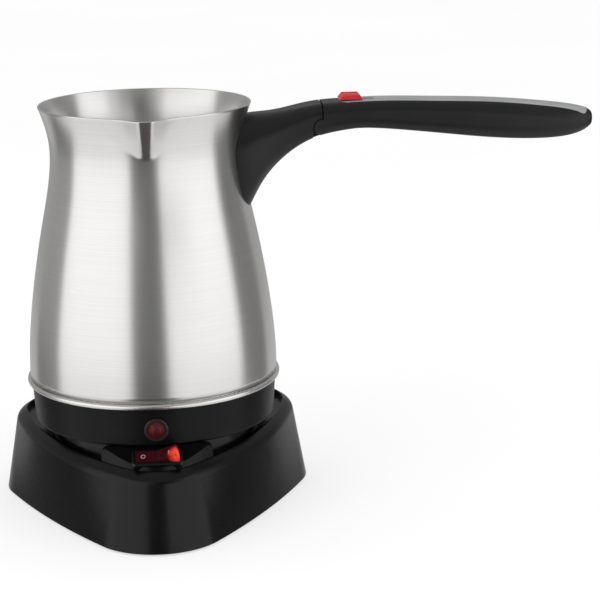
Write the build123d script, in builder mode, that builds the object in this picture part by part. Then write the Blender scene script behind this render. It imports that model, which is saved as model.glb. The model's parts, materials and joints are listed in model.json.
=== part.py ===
from build123d import *
import os
from collections import namedtuple
from math import atan2, cos, degrees, radians, sin, tan

# Electric Turkish coffee maker: a cordless steel jug with a folding handle, standing on a
# three-cornered power base.  Millimetres.  The origin is on the table under the jug's axis,
# +X points along the handle, -Y to the front (spout, lamp and switch) and +Z up.

# ---- Driving dimensions: base --------------------------------------------------------------------
BASE_REACH = 70.0        # axis to a corner, at the table
BASE_CORNER_R = 28.0     # plan radius of a corner, at the table
SIDE_BOW = 2.1           # how far a side bows out beyond a straight one, at the table
DRAFT_REACH = 0.190      # how much the corners lean in per millimetre of height
DRAFT_CORNER = 0.128     # how much the corner radius shrinks per millimetre of height
GAIN_BOW = 0.1063        # how much the bow of the sides grows with it
BASE_LIFT = 0.8          # lower edge of the shell above the table
CREST_FRONT_Z = 31.2     # height of the crest at the front corner
CREST_TILT = 2.8         # degrees by which the crest climbs to the back
CREST_BAND = 3.2         # width of the sloping band around the crest
CREST_DROP = 2.4         # height of that band
CREST_ROUND = 5.0        # rounding of its outer edge
RIM_LAND = 0.5           # flat land between that band and the recess
RECESS_DEPTH = 2.0       # floor of the top recess below the crest
BASE_WALL = 2.5
CEILING_T = 3.4          # skin under the recess floor
COVER_T = 3.2            # bottom cover
BOSS_R = 4.0
BOSS_INSET = 8.7         # cover's bosses, in from the middles of the sides
FOOT_INSET = 12.7        # rubber foot ring, in from the middles of the sides
FOOT_W, FOOT_H = 3.4, 2.3

SEAT_RISE = 6.8          # seat that carries the jug, above the crest at the front
SEAT_INSET = 8.0         # edge of the seat in from the foot of the jug's housing
SEAT_FLARE = 2.0         # how much wider the seat is at its foot
SEAT_SUNK = 1.0          # how far the seat's flank runs on below the recess floor
SEAT_T = 2.5             # skin of the seat

# ---- Driving dimensions: cord entry, terminals and leads -----------------------------------------
GROMMET_X, GROMMET_Z = 16.0, 11.0
GROMMET_R, GROMMET_BORE_R = 5.0, 3.3
GROMMET_FLANGE_R, GROMMET_FLANGE_T = 7.0, 1.8
GROMMET_LIP = 1.2        # height and thickness of the lip behind the wall
GROMMET_GROOVE = 4.9     # from the flange to that lip
BLOCK_L, BLOCK_W, BLOCK_H = 28.0, 9.0, 9.0
BLOCK_INSET = 23.2       # middle of the terminal block in from the back of the base
BLOCK_PITCH = 10.0
BLOCK_SCREW_WELL = 5.2
LEAD_R = 1.0
LEAD_RISE = 5.0          # leads above the bottom cover
LEAD_BEND = 3.0
LEAD_IN_BLOCK = 3.0      # bared length inside the terminal block
LEAD_STUB = 4.0          # straight length outside it
LIVE_LANE_X = 14.0       # lane of the lead that runs round the connector to the switch
LIVE_LANE_FROM_Y, LIVE_LANE_TO_Y = 8.0, -20.0
NEUTRAL_TURN_Y = 6.0
SWITCHED_TURN_Y = -26.0

# ---- Driving dimensions: console and rocker switch -----------------------------------------------
CONSOLE_TILT = 22.0      # degrees, leaning to the front
CONSOLE_SETBACK = 14.7   # middle of the switch in from the front corner
CONSOLE_DROP = 3.2       # the console's face there below the seat
CONSOLE_W = 44.0
CONSOLE_SHOULDER = 3.0   # rounding of its long edges
BEZEL_L, BEZEL_W, BEZEL_T = 20.2, 9.2, 1.4
BEZEL_CORNER_R, BEZEL_CHAMFER = 1.5, 0.4
SWITCH_L, SWITCH_W, SWITCH_DEPTH = 18.8, 7.8, 15.0
SWITCH_WALL = 0.5
SWITCH_CAVITY = 9.0
SWITCH_TERMINAL_X = 5.0
ROCKER_THROW = 22.0      # degrees between the two stable positions
ROCKER_DROP = 1.6        # rocker pivot below the bezel's face
ROCKER_GAP = 0.25
ROCKER_R = 8.8           # ends of the rocker, about its pivot
ROCKER_RISE = 1.9        # middle of the rocker's face above the pivot
ROCKER_KEEL = 4.0        # underside below the pivot
TRUNNION_R = 1.2

# ---- Driving dimensions: connector ---------------------------------------------------------------
SPIGOT_R, SPIGOT_H, SPIGOT_BORE_R = 11.0, 6.6, 3.2
SPIGOT_CHAMFER = 0.8
CONNECTOR_NECK_R = 14.0
FLANGE_R, FLANGE_T = 24.0, 2.0
FLANGE_SCREWS_R = 20.0
FLANGE_SCREW_LEN = 4.0
BLADE_T, BLADE_W, BLADE_LEN, BLADE_REACH = 0.8, 4.8, 6.0, 9.0
GROOVE_R, GROOVE_W = 7.0, 1.2                # ring groove for the jug's contact
CONTACT_R, CONTACT_W, CONTACT_LEN = 7.3, 0.6, 4.0
EARTH_PIN_R, EARTH_PIN_CHAMFER, EARTH_PIN_SET_BACK = 2.2, 0.8, 1.0
SOCKET_WALL = 4.8
SOCKET_GAP = 0.6         # around the spigot
SOCKET_CHAMFER = 1.0
SOCKET_FLANGE_W, SOCKET_FLANGE_T = 3.1, 1.8
SOCKET_H = 12.0          # top of the jug's connector above the seat

# ---- Driving dimensions: jug ---------------------------------------------------------------------
WALL = 0.8               # steel sheet
SHELL_R = 50.9           # lower edge of the jug's wall
STRAIGHT = 2.2           # straight stretch above that edge
BELLY_R, BELLY_H = 49.1, 27.7                # heights above the wall's lower edge
SHOULDER_R, SHOULDER_H = 42.9, 63.7
NECK_R, NECK_H = 38.75, 91.7
RIM_R, RIM_H = 43.0, 110.7
RIM_FLARE = 0.42         # outward slope of the wall at the rim
SPOUT_REACH = 11.2       # tip beyond the rim
SPOUT_HALF_W = 13.5      # half the width where the spout leaves the rim
SPOUT_H = 14.0           # from the rim down to the narrow end of the flanks
SPOUT_WAIST_KEEL = 2.3   # keel beyond the neck at that level
SPOUT_WAIST_HALF_W = 6.5
SPOUT_FADE = 6.0         # height in which the keel runs into the neck
SPOUT_SINK = 3.2         # how far it sinks in that height
SPOUT_ROOT = 5.0         # how far the beak's solid reaches inside the wall
KEEL_R = 4.0             # radius along the keel

# ---- Driving dimensions: jug floor, heater and lower housing -------------------------------------
BEAD_R = 1.2             # section of the rolled seam
BEAD_GAP = 0.3           # seam above the housing
SHELL_GAP = 0.5          # jug's wall above the seam
FLOOR_RISE = 0.7         # jug's floor above the wall's lower edge
PAN_T = 1.0
PLATE_T, PLATE_INSET = 3.0, 5.1
ELEMENT_INSET, ELEMENT_TUBE_R = 18.6, 3.3    # in from the lower edge of the jug's wall
ELEMENT_GAP = 50.0       # degrees left open at the back
COLD_PIN_R, COLD_PIN_LEN = 1.6, 7.0
COLD_PIN_INSET = 4.0     # degrees from each end of the element to its pin
THERMOSTAT_R, THERMOSTAT_H, THERMOSTAT_REACH = 6.4, 6.0, 25.0
THERMOSTAT_CHAMFER = 1.0
COLLAR_H = 15.1
COLLAR_TOP_INSET, COLLAR_FOOT_INSET = 0.6, 1.6        # in from the lower edge of the jug's wall
COLLAR_WALL = 2.2
COLLAR_FOOT_ROUND = 1.2
HOUSING_FLOOR_T = 2.4
HOUSING_BOSS_R = 3.6
HOUSING_BOSS_INSET = 8.7
HOUSING_BOSS_H = 8.0     # joint of the bosses above the seat
HOUSING_BOSS_FLOOR = 2.0                     # under the heads of the screws
JUG_LEAD_RISE = 8.0      # leads above the seat
JUG_LEAD_SPREAD = 1.4    # how much wider apart they leave the connector than the pins

LAMP_RISE = 7.2          # middle of the lamp above the seat
LENS_R = 3.3
LAMP_BARREL_R, LAMP_DEPTH = 4.1, 6.0
LAMP_FLANGE_R, LAMP_FLANGE_T = 4.8, 1.2
LENS_BACK, LENS_SEAT, LENS_DOME = 3.0, 0.4, 1.1
LENS_LEAN = 0.4          # slope of the dome where it leaves the ring
BULB_R, BULB_LEN, BULB_SET_BACK = 2.2, 7.5, 3.4
BULB_TIP_ROUND = 1.8

# ---- Driving dimensions: handle ------------------------------------------------------------------
HINGE_REACH = 32.05      # hinge beyond the neck
HINGE_DROP = 10.8        # hinge below the rim
# x beyond the hinge, width, top and bottom above the hinge, and radius of the edges
Section = namedtuple("Section", "x width top bottom edge_r")
HANDLE_TABLE = (
    Section(-37.8, 31.5, 5.2, -36.2, 14.5),
    Section(-27.8, 29.0, 5.4, -28.7, 12.5),
    Section(-20.8, 25.6, 5.8, -17.6, 9.6),
    Section(-13.8, 23.2, 6.8, -10.8, 7.2),
    Section(-6.8, 21.8, 8.2, -6.2, 5.6),
    Section(0.2, 21.0, 9.2, -3.5, 4.9),
    Section(13.2, 20.6, 9.8, -1.3, 4.6),
    Section(32.2, 20.8, 9.9, -2.3, 4.8),
    Section(58.2, 21.4, 9.0, -5.4, 5.4),
    Section(78.2, 21.6, 7.8, -7.3, 6.0),
    Section(94.2, 20.4, 6.2, -7.6, 6.2),
    Section(105.2, 16.4, 4.6, -6.0, 5.0),
    Section(111.2, 9.0, 2.8, -2.8, 2.7),
)
TIP_ROUND = 2.2
SEAM_OFFSET = 0.2        # butt joint between bracket and grip, beyond the hinge
SEAM_GAP = 0.6
HINGE_PIN_R = 1.5
HINGE_PIN_SUNK = 0.8     # its ends in from the sides of the handle
HINGE_PIN_CHAMFER = 0.4
KNUCKLE_R = 3.4
LUG_HALF_W = 4.5         # middle lug of the bracket
HINGE_GAP = 0.35         # between knuckles, at their sides and around them
CLIP_T, CLIP_W, CLIP_H = 1.5, 18.0, 15.0     # plate welded to the neck
CLIP_CORNER_R = 3.0
CLIP_DROP = 6.2          # its middle below the hinge
TONGUE_REACH, TONGUE_W = 22.25, 12.0         # beyond the neck
TONGUE_SCREW_INSET = 7.0
TONGUE_SCREW_FLOOR = 2.6                     # under the tongue, over the screw's head

COVER_START, COVER_END_INSET = 7.6, 2.4      # from the hinge and from the tip
COVER_HALF_W = 6.9
COVER_SKIN = 2.0
COVER_CORNER = 0.45      # plan corner radius of cover and hollow per half width
GRIP_FLOOR = 2.4         # thickness under the hollow of the grip
HOLLOW_HALF_W = 5.4
HOLLOW_START, HOLLOW_END_INSET = 8.2, 10.0
GRIP_SCREW_REACHES = (41.2, 89.2)
GRIP_BOSS_WALL = 1.5
POST_R = 3.0

BOLT_HALF_W, BOLT_H, BOLT_LEN = 3.0, 2.8, 24.4
BOLT_RISE = 5.2          # middle of the latch bolt above the hinge
BOLT_REACH = 2.4         # nose into the bracket, from the butt joint
BOLT_NOSE_CHAMFER = 0.9
BOLT_POCKET_RISE = 1.5   # pocket higher than the nose, which swings out of it
BED_T = 2.5              # bed under the bolt
BED_LAP = 1.0            # bed and channel of the bolt into the front wall of the hollow
RIB_T = 2.0              # rib behind the spring
RIB_LAP = 0.5            # bed and rib into the sides of the hollow
PEG_LEN = 3.7            # peg of the bolt inside its spring
SLIDE_LEN, SLIDE_HALF_W, SLIDE_H = 9.4, 5.0, 1.9
SLIDE_RAMP, SLIDE_TAIL = 1.6, 1.2            # lengths of its sloping front and back
SLIDE_ROUND = 0.6
SLIDE_TRAVEL = 4.5
SLIDE_LIFT = 0.35        # slide above the highest line of the handle
RIDGE_PITCH, RIDGE_R, RIDGE_DEPTH = 1.3, 0.6, 0.25
RIDGE_INSET = 1.0        # ridges in from the sides of the slide
STEM_HALF_W, STEM_LEN = 1.7, 6.8
TONGUE_HALF_W, TONGUE_LEN = 1.2, 4.0         # under the stem, into the bolt
SPRING_LEN, SPRING_R, SPRING_WIRE_R, SPRING_TURNS = 11.0, 2.0, 0.35, 6

# ---- Shared clearances and fasteners -------------------------------------------------------------
FIT = 0.1                # between pieces that are assembled and stay put
RUN = 0.3                # around pieces that move
SHAFT_RUN = 0.05         # radial, around pins that turn
SCREW_R, SCREW_HEAD_R, SCREW_HEAD_H = 1.5, 2.8, 1.9
SCREW_LEN = 9.0

# ---- Derived levels and places -------------------------------------------------------------------
CORNERS = (-90.0, 30.0, 150.0)
SIDES = (-30.0, 90.0, 210.0)
COVER_TOP = BASE_LIFT + COVER_T
HEAD_RECESS = SCREW_HEAD_H + FIT
BASE_FLAT = (BASE_REACH + BASE_CORNER_R) / 2 + SIDE_BOW
BOSS_REACH = BASE_FLAT - BOSS_INSET
FOOT_R = BASE_FLAT - FOOT_INSET
SEAT_Z = CREST_FRONT_Z + SEAT_RISE
SEAT_UNDER_Z = SEAT_Z - SEAT_T
LEAD_Z = COVER_TOP + LEAD_RISE
BLOCK_Y = BASE_FLAT - BLOCK_INSET

COLLAR_TOP_Z = SEAT_Z + COLLAR_H
COLLAR_TOP_R = SHELL_R - COLLAR_TOP_INSET
COLLAR_FOOT_R = SHELL_R - COLLAR_FOOT_INSET
SEAT_R = COLLAR_FOOT_R - SEAT_INSET
BEAD_Z = COLLAR_TOP_Z + BEAD_GAP + BEAD_R
SHELL_Z = BEAD_Z + BEAD_R + SHELL_GAP
PAN_FLOOR_Z = SHELL_Z + FLOOR_RISE
PLATE_Z = PAN_FLOOR_Z - PLATE_T
ELEMENT_R = SHELL_R - ELEMENT_INSET
BELLY_Z, SHOULDER_Z = SHELL_Z + BELLY_H, SHELL_Z + SHOULDER_H
NECK_Z, RIM_Z = SHELL_Z + NECK_H, SHELL_Z + RIM_H
HOUSING_BOSS_REACH = COLLAR_FOOT_R - HOUSING_BOSS_INSET
HOUSING_BOSS_Z = SEAT_Z + HOUSING_BOSS_H
SPIGOT_TOP = SEAT_Z + SPIGOT_H
SOCKET_TOP = SPIGOT_TOP + SOCKET_GAP
SOCKET_FOOT_Z = SEAT_Z + SOCKET_GAP
SOCKET_R = SPIGOT_R + SOCKET_GAP + SOCKET_WALL
LAMP_Z = SEAT_Z + LAMP_RISE

HINGE_X, HINGE_Z = NECK_R + HINGE_REACH, RIM_Z - HINGE_DROP
HANDLE = [
    Section(HINGE_X + s.x, s.width, HINGE_Z + s.top, HINGE_Z + s.bottom, s.edge_r)
    for s in HANDLE_TABLE
]
HANDLE_END_X = HANDLE[-1].x
HANDLE_W = max(s.width for s in HANDLE)
SEAM_X = HINGE_X + SEAM_OFFSET
CLIP_Z = HINGE_Z - CLIP_DROP
TONGUE_END_X = NECK_R + TONGUE_REACH
BRACKET_SCREW_X = TONGUE_END_X - TONGUE_SCREW_INSET
COVER_START_X, COVER_END_X = HINGE_X + COVER_START, HANDLE_END_X - COVER_END_INSET
HOLLOW_START_X, HOLLOW_END_X = HINGE_X + HOLLOW_START, HANDLE_END_X - HOLLOW_END_INSET
GRIP_SCREW_XS = [HINGE_X + reach for reach in GRIP_SCREW_REACHES]
BOLT_Z = HINGE_Z + BOLT_RISE
BOLT_NOSE_X = SEAM_X - BOLT_REACH
BOLT_TAIL_X = BOLT_NOSE_X + BOLT_LEN
RIB_X = BOLT_TAIL_X + SPRING_LEN
SLIDE_START_X, SLIDE_END_X = COVER_START_X, COVER_START_X + SLIDE_LEN
SLIDE_FOOT_Z = max(s.top for s in HANDLE) + SLIDE_LIFT
STEM_X = (SLIDE_START_X + SLIDE_END_X) / 2


# ---- Shared shapes -------------------------------------------------------------------------------
def polar(reach, azimuth):
    """Point in plan at a reach from the axis and an azimuth in degrees."""
    return (reach * cos(radians(azimuth)), reach * sin(radians(azimuth)))


def crest_z(y):
    """Height of the crest, which climbs to the back."""
    front = -(BASE_REACH - DRAFT_REACH * CREST_FRONT_Z - CREST_BAND)
    return CREST_FRONT_Z + (y - front) * sin(radians(CREST_TILT))


def side_reach(z=0.0):
    """Axis to the middle of a side, at a height above the table."""
    corner_r = BASE_CORNER_R - DRAFT_CORNER * z
    return (BASE_REACH - DRAFT_REACH * z + corner_r) / 2 + SIDE_BOW + GAIN_BOW * z


def crest_plane(drop=0.0):
    """The plane of the crest, or one parallel to it and lower by drop."""
    tilt = radians(CREST_TILT)
    return Plane(origin=(0, 0, crest_z(0) - drop), x_dir=(1, 0, 0), z_dir=(0, -sin(tilt), cos(tilt)))


def rounded_triangle(plane, inset=0.0):
    """Plan outline of the base on a plane: three round corners joined by bowed sides."""
    z = plane.origin.Z
    corner_r = BASE_CORNER_R - DRAFT_CORNER * z
    centre = BASE_REACH - DRAFT_REACH * z - corner_r
    half = centre / 2
    flat = side_reach(z)
    side_r = ((half - flat) ** 2 + 3 * half**2 - corner_r**2) / (2 * flat - 2 * corner_r - centre)
    set_back = side_r - flat
    half_side = degrees(atan2(3**0.5 * half, half + set_back))
    half_corner = 60 - half_side
    with BuildSketch(plane) as outline:
        with BuildLine():
            for corner, side in zip(CORNERS, SIDES):
                CenterArc(polar(centre, corner), corner_r - inset, corner - half_corner, 2 * half_corner)
                CenterArc(polar(-set_back, side), side_r - inset, side - half_side, 2 * half_side)
        make_face()
    return outline.sketch


def console_plane(rise=0.0):
    """The leaning face of the console at the middle of the switch."""
    tilt = radians(CONSOLE_TILT)
    normal = Vector(0, -sin(tilt), cos(tilt))
    middle = Vector(0, CONSOLE_SETBACK - BASE_REACH, SEAT_Z - CONSOLE_DROP)
    return Plane(origin=middle + normal * rise, x_dir=(1, 0, 0), z_dir=normal)


def jug_section(grow=0.0):
    """Half section of the jug's body as a solid, with its skin moved out by grow."""
    with BuildSketch(Plane.XZ) as section:
        with BuildLine():
            Line((0, SHELL_Z), (SHELL_R + grow, SHELL_Z))
            Line((SHELL_R + grow, SHELL_Z), (SHELL_R + grow, SHELL_Z + STRAIGHT))
            Spline(
                (SHELL_R + grow, SHELL_Z + STRAIGHT),
                (BELLY_R + grow, BELLY_Z),
                (SHOULDER_R + grow, SHOULDER_Z),
                (NECK_R + grow, NECK_Z),
                tangents=((0, 1), (0, 1)),
            )
            Spline((NECK_R + grow, NECK_Z), (RIM_R + grow, RIM_Z), tangents=((0, 1), (RIM_FLARE, 1)))
            Line((RIM_R + grow, RIM_Z), (0, RIM_Z))
            Line((0, RIM_Z), (0, SHELL_Z))
        make_face()
    return section.sketch


def jug_body(grow=0.0):
    """The jug's outer form as a solid of revolution."""
    with BuildPart() as body:
        revolve(jug_section(grow), axis=Axis.Z)
    return body.part


def spout_triangle(z, keel_y, half_w, wall_y, thin):
    """Level section of the spout: a V with a rounded keel, open towards the jug's axis.

    Thinned by the wall, its flanks move in square to themselves.
    """
    back_y = wall_y + SPOUT_ROOT
    flank = half_w / (wall_y - keel_y)
    spread = flank * (back_y - keel_y)
    shift = thin * (1 + flank**2) ** 0.5 / flank
    with BuildSketch(Plane.XY.offset(z)) as level:
        with BuildLine():
            Polyline(
                (-spread, back_y + shift), (0, keel_y + shift), (spread, back_y + shift), close=True
            )
        make_face()
        fillet(level.vertices().sort_by(Axis.Y)[0], KEEL_R - thin)
    return level.sketch


def spout_wedge(thin=0.0):
    """Beak pressed out of the rim, thinner all round by thin for its hollow."""
    rim_y = -((RIM_R**2 - SPOUT_HALF_W**2) ** 0.5)
    waist_z = RIM_Z - SPOUT_H
    waist_y = -((NECK_R**2 - SPOUT_WAIST_HALF_W**2) ** 0.5)
    waist_keel = -(NECK_R + SPOUT_WAIST_KEEL)
    with BuildPart() as wedge:
        loft(
            [
                spout_triangle(RIM_Z, -(RIM_R + SPOUT_REACH), SPOUT_HALF_W, rim_y, thin),
                spout_triangle(waist_z, waist_keel, SPOUT_WAIST_HALF_W, waist_y, thin),
                spout_triangle(
                    waist_z - SPOUT_FADE, waist_keel + SPOUT_SINK,
                    SPOUT_WAIST_HALF_W, waist_y + SPOUT_SINK, thin,
                ),
            ],
            ruled=True,
        )
    return wedge.part


def screw(length=SCREW_LEN):
    """Pan-head screw with its head's underside at the origin and its shank along +Z."""
    with BuildPart() as fastener:
        with BuildSketch():
            Circle(SCREW_R)
        extrude(amount=length)
        with BuildSketch():
            Circle(SCREW_HEAD_R)
        extrude(amount=-SCREW_HEAD_H)
        fillet(fastener.edges().sort_by(Axis.Z)[0], SCREW_HEAD_H / 2)
    return fastener.part


def lead(points):
    """Insulated wire: straight runs joined by arcs, round in section."""
    with BuildPart() as wire:
        with BuildLine() as route:
            FilletPolyline(*points, radius=LEAD_BEND)
        with BuildSketch(Plane(origin=route.line @ 0, z_dir=route.line % 0)):
            Circle(LEAD_R)
        sweep()
    return wire.part


def finish(name, piece):
    """Label a finished sub-part and write it."""
    piece.label = name
    export_step(piece, f"parts/{name}.step")


os.makedirs("parts", exist_ok=True)

# ---- Base shell ----------------------------------------------------------------------------------
SEAT_FOOT_Z = crest_z(-SEAT_R) - RECESS_DEPTH - SEAT_SUNK


def console_block():
    """Wedge that carries the switch, bounded by the recess in front."""
    face = console_plane()
    slope = tan(radians(CONSOLE_TILT))
    back_y = face.origin.Y + CONSOLE_DROP / slope
    under_z = SEAT_FOOT_Z - CEILING_T
    with BuildPart() as block:
        with BuildSketch(Plane.YZ):
            with BuildLine():
                Polyline(
                    (back_y, SEAT_Z),
                    (-BASE_REACH, face.origin.Z - slope * (BASE_REACH + face.origin.Y)),
                    (-BASE_REACH, under_z),
                    (back_y + SEAT_T, under_z),
                    (back_y + SEAT_T, SEAT_Z),
                    close=True,
                )
            make_face()
        extrude(amount=CONSOLE_W / 2, both=True)
        long_edges = block.edges().filter_by(Axis.X, reverse=True).filter_by(Axis.Z, reverse=True)
        fillet(long_edges.filter_by_position(Axis.Z, under_z + FIT, SEAT_Z), CONSOLE_SHOULDER)
        extrude(
            rounded_triangle(crest_plane(), CREST_BAND + RIM_LAND), amount=SEAT_Z, both=True,
            mode=Mode.INTERSECT,
        )
    return block.part


band_foot = crest_plane(CREST_DROP)
with BuildPart() as base_shell:
    loft(
        [
            rounded_triangle(Plane.XY.offset(BASE_LIFT)),
            rounded_triangle(band_foot),
            rounded_triangle(crest_plane(), CREST_BAND),
        ],
        ruled=True,
    )
    outer_edges = base_shell.edges().filter_by(
        lambda edge: abs(band_foot.to_local_coords(edge.center()).Z) < FIT
    )
    fillet(outer_edges, CREST_ROUND)
    extrude(
        rounded_triangle(crest_plane(), CREST_BAND + RIM_LAND), amount=-RECESS_DEPTH, mode=Mode.SUBTRACT
    )
    loft(
        [
            rounded_triangle(Plane.XY.offset(BASE_LIFT), BASE_WALL),
            rounded_triangle(crest_plane(CREST_DROP + CEILING_T), BASE_WALL),
        ],
        mode=Mode.SUBTRACT,
    )
    # seat of the jug and the console of the switch, both hollow below
    with BuildSketch(Plane.XY.offset(SEAT_FOOT_Z)):
        Circle(SEAT_R + SEAT_FLARE)
    with BuildSketch(Plane.XY.offset(SEAT_Z)):
        Circle(SEAT_R)
    loft()
    add(console_block())
    with BuildSketch(Plane.XY.offset(SEAT_UNDER_Z)):
        Circle(SEAT_R - SEAT_T)
    extrude(amount=COVER_TOP - SEAT_UNDER_Z, mode=Mode.SUBTRACT)
    with BuildSketch(console_plane(SWITCH_DEPTH / 2)):
        Rectangle(SWITCH_L + 2 * FIT, SWITCH_W + 2 * FIT)
    extrude(amount=-2 * SWITCH_DEPTH, mode=Mode.SUBTRACT)
    # hole for the connector, and blind holes for its screws
    with BuildSketch(Plane.XY.offset(SEAT_Z)):
        Circle(CONNECTOR_NECK_R + FIT)
    extrude(amount=-SEAT_T, mode=Mode.SUBTRACT)
    with BuildSketch(Plane.XY.offset(SEAT_UNDER_Z)):
        with PolarLocations(FLANGE_SCREWS_R, 3):
            Circle(SCREW_R)
    extrude(amount=FLANGE_SCREW_LEN - FLANGE_T, mode=Mode.SUBTRACT)
    # bosses for the screws of the bottom cover
    with BuildSketch(Plane.XY.offset(COVER_TOP)):
        with PolarLocations(BOSS_REACH, 3, start_angle=SIDES[0]):
            Circle(BOSS_R)
    extrude(amount=SEAT_FOOT_Z - COVER_TOP)
    with BuildSketch(Plane.XY.offset(COVER_TOP)):
        with PolarLocations(BOSS_REACH, 3, start_angle=SIDES[0]):
            Circle(SCREW_R)
    extrude(amount=SCREW_LEN, mode=Mode.SUBTRACT)
    # cord entry at the back
    with BuildSketch(Plane(origin=(GROMMET_X, BASE_FLAT + BASE_WALL, GROMMET_Z), z_dir=(0, -1, 0))):
        Circle(GROMMET_R)
    extrude(amount=3 * BASE_WALL, mode=Mode.SUBTRACT)
finish("base_shell", base_shell.part)

# ---- Bottom cover, its foot ring and screws ------------------------------------------------------
with BuildPart() as bottom_cover:
    loft(
        [
            rounded_triangle(Plane.XY.offset(BASE_LIFT), BASE_WALL + 2 * FIT),
            rounded_triangle(Plane.XY.offset(COVER_TOP), BASE_WALL + 2 * FIT),
        ],
        ruled=True,
    )
    with BuildSketch(Plane.XY.offset(BASE_LIFT)):
        Circle(FOOT_R + FIT)
        Circle(FOOT_R - FOOT_W - FIT, mode=Mode.SUBTRACT)
    extrude(amount=FOOT_H - BASE_LIFT, mode=Mode.SUBTRACT)
    with BuildSketch(Plane.XY.offset(BASE_LIFT)):
        with PolarLocations(BOSS_REACH, 3, start_angle=SIDES[0]):
            Circle(SCREW_HEAD_R + FIT)
    extrude(amount=HEAD_RECESS, mode=Mode.SUBTRACT)
    with BuildSketch(Plane.XY.offset(BASE_LIFT)):
        with PolarLocations(BOSS_REACH, 3, start_angle=SIDES[0]):
            Circle(SCREW_R + FIT)
    extrude(amount=COVER_T, mode=Mode.SUBTRACT)
finish("bottom_cover", bottom_cover.part)

with BuildPart() as foot_ring:
    with BuildSketch():
        Circle(FOOT_R)
        Circle(FOOT_R - FOOT_W, mode=Mode.SUBTRACT)
    extrude(amount=FOOT_H)
finish("foot_ring", foot_ring.part)

with BuildPart() as cover_screws:
    with PolarLocations(BOSS_REACH, 3, start_angle=SIDES[0]):
        with Locations((0, 0, BASE_LIFT + HEAD_RECESS)):
            add(screw())
finish("cover_screws", cover_screws.part)

# ---- Cord grommet and terminal block -------------------------------------------------------------
flange_y = side_reach(GROMMET_Z - GROMMET_FLANGE_R)
grommet_plane = Plane(origin=(GROMMET_X, flange_y, GROMMET_Z), z_dir=(0, -1, 0))

with BuildPart() as cord_grommet:
    with BuildSketch(grommet_plane.offset(-GROMMET_FLANGE_T)):
        Circle(GROMMET_FLANGE_R)
    extrude(amount=GROMMET_FLANGE_T)
    fillet(cord_grommet.edges().sort_by(Axis.Y)[-1], GROMMET_FLANGE_T / 2)
    with BuildSketch(grommet_plane):
        Circle(GROMMET_R - SHAFT_RUN)
    extrude(amount=GROMMET_GROOVE + GROMMET_LIP)
    with BuildSketch(grommet_plane.offset(GROMMET_GROOVE)):
        Circle(GROMMET_R + GROMMET_LIP)
    extrude(amount=GROMMET_LIP)
    with BuildSketch(grommet_plane.offset(-GROMMET_FLANGE_T)):
        Circle(GROMMET_BORE_R)
    extrude(amount=GROMMET_FLANGE_T + GROMMET_GROOVE + GROMMET_LIP, mode=Mode.SUBTRACT)
finish("cord_grommet", cord_grommet.part)

with BuildPart() as terminal_block:
    with BuildSketch(Plane.XY.offset(COVER_TOP)):
        with Locations((0, BLOCK_Y)):
            Rectangle(BLOCK_L, BLOCK_W)
    extrude(amount=BLOCK_H)
    with BuildSketch(Plane((0, BLOCK_Y - BLOCK_W / 2, LEAD_Z), x_dir=(1, 0, 0), z_dir=(0, 1, 0))):
        with GridLocations(BLOCK_PITCH, 1, 3, 1):
            Circle(LEAD_R)
    extrude(amount=BLOCK_W, mode=Mode.SUBTRACT)
    with BuildSketch(Plane.XY.offset(COVER_TOP + BLOCK_H)):
        with Locations((0, BLOCK_Y)):
            with GridLocations(BLOCK_PITCH, 1, 3, 1):
                Circle(SCREW_R)
    extrude(amount=-BLOCK_SCREW_WELL, mode=Mode.SUBTRACT)
finish("terminal_block", terminal_block.part)

# ---- Base half of the connector ------------------------------------------------------------------
flange_under_z = SEAT_UNDER_Z - FLANGE_T
with BuildPart() as base_connector:
    with BuildSketch(Plane.XY.offset(SEAT_UNDER_Z)):
        Circle(FLANGE_R)
    extrude(amount=-FLANGE_T)
    with BuildSketch(Plane.XY.offset(SEAT_UNDER_Z)):
        Circle(CONNECTOR_NECK_R)
    extrude(amount=SEAT_T)
    with BuildSketch(Plane.XY.offset(SEAT_Z)):
        Circle(SPIGOT_R)
    extrude(amount=SPIGOT_H)
    chamfer(base_connector.edges().group_by(Axis.Z)[-1], SPIGOT_CHAMFER)
    with BuildSketch(Plane.XY.offset(SPIGOT_TOP)):
        Circle(SPIGOT_BORE_R)
        Circle(GROOVE_R + GROOVE_W)
        Circle(GROOVE_R, mode=Mode.SUBTRACT)
        Circle(SPIGOT_BORE_R)
    extrude(amount=-SPIGOT_H, mode=Mode.SUBTRACT)
    with BuildSketch(Plane.XY.offset(flange_under_z)):
        with PolarLocations(FLANGE_SCREWS_R, 3):
            Circle(SCREW_R)
    extrude(amount=FLANGE_T, mode=Mode.SUBTRACT)
finish("base_connector", base_connector.part)

with BuildPart() as connector_blades:
    with BuildSketch(Plane.XY.offset(flange_under_z)):
        with PolarLocations(BLADE_REACH, 3, start_angle=SIDES[1]):
            Rectangle(BLADE_T, BLADE_W)
    extrude(amount=-BLADE_LEN)
finish("connector_blades", connector_blades.part)

with BuildPart() as connector_screws:
    with PolarLocations(FLANGE_SCREWS_R, 3):
        with Locations((0, 0, flange_under_z)):
            add(screw(FLANGE_SCREW_LEN))
finish("connector_screws", connector_screws.part)

# ---- Rocker switch -------------------------------------------------------------------------------
opening_l = SWITCH_L - 2 * SWITCH_WALL
opening_w = SWITCH_W - 2 * SWITCH_WALL
console = console_plane()
pivot = console.from_local_coords((0, 0, BEZEL_T - ROCKER_DROP))
across = Plane(origin=pivot, x_dir=(1, 0, 0), z_dir=-console.y_dir)

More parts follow.
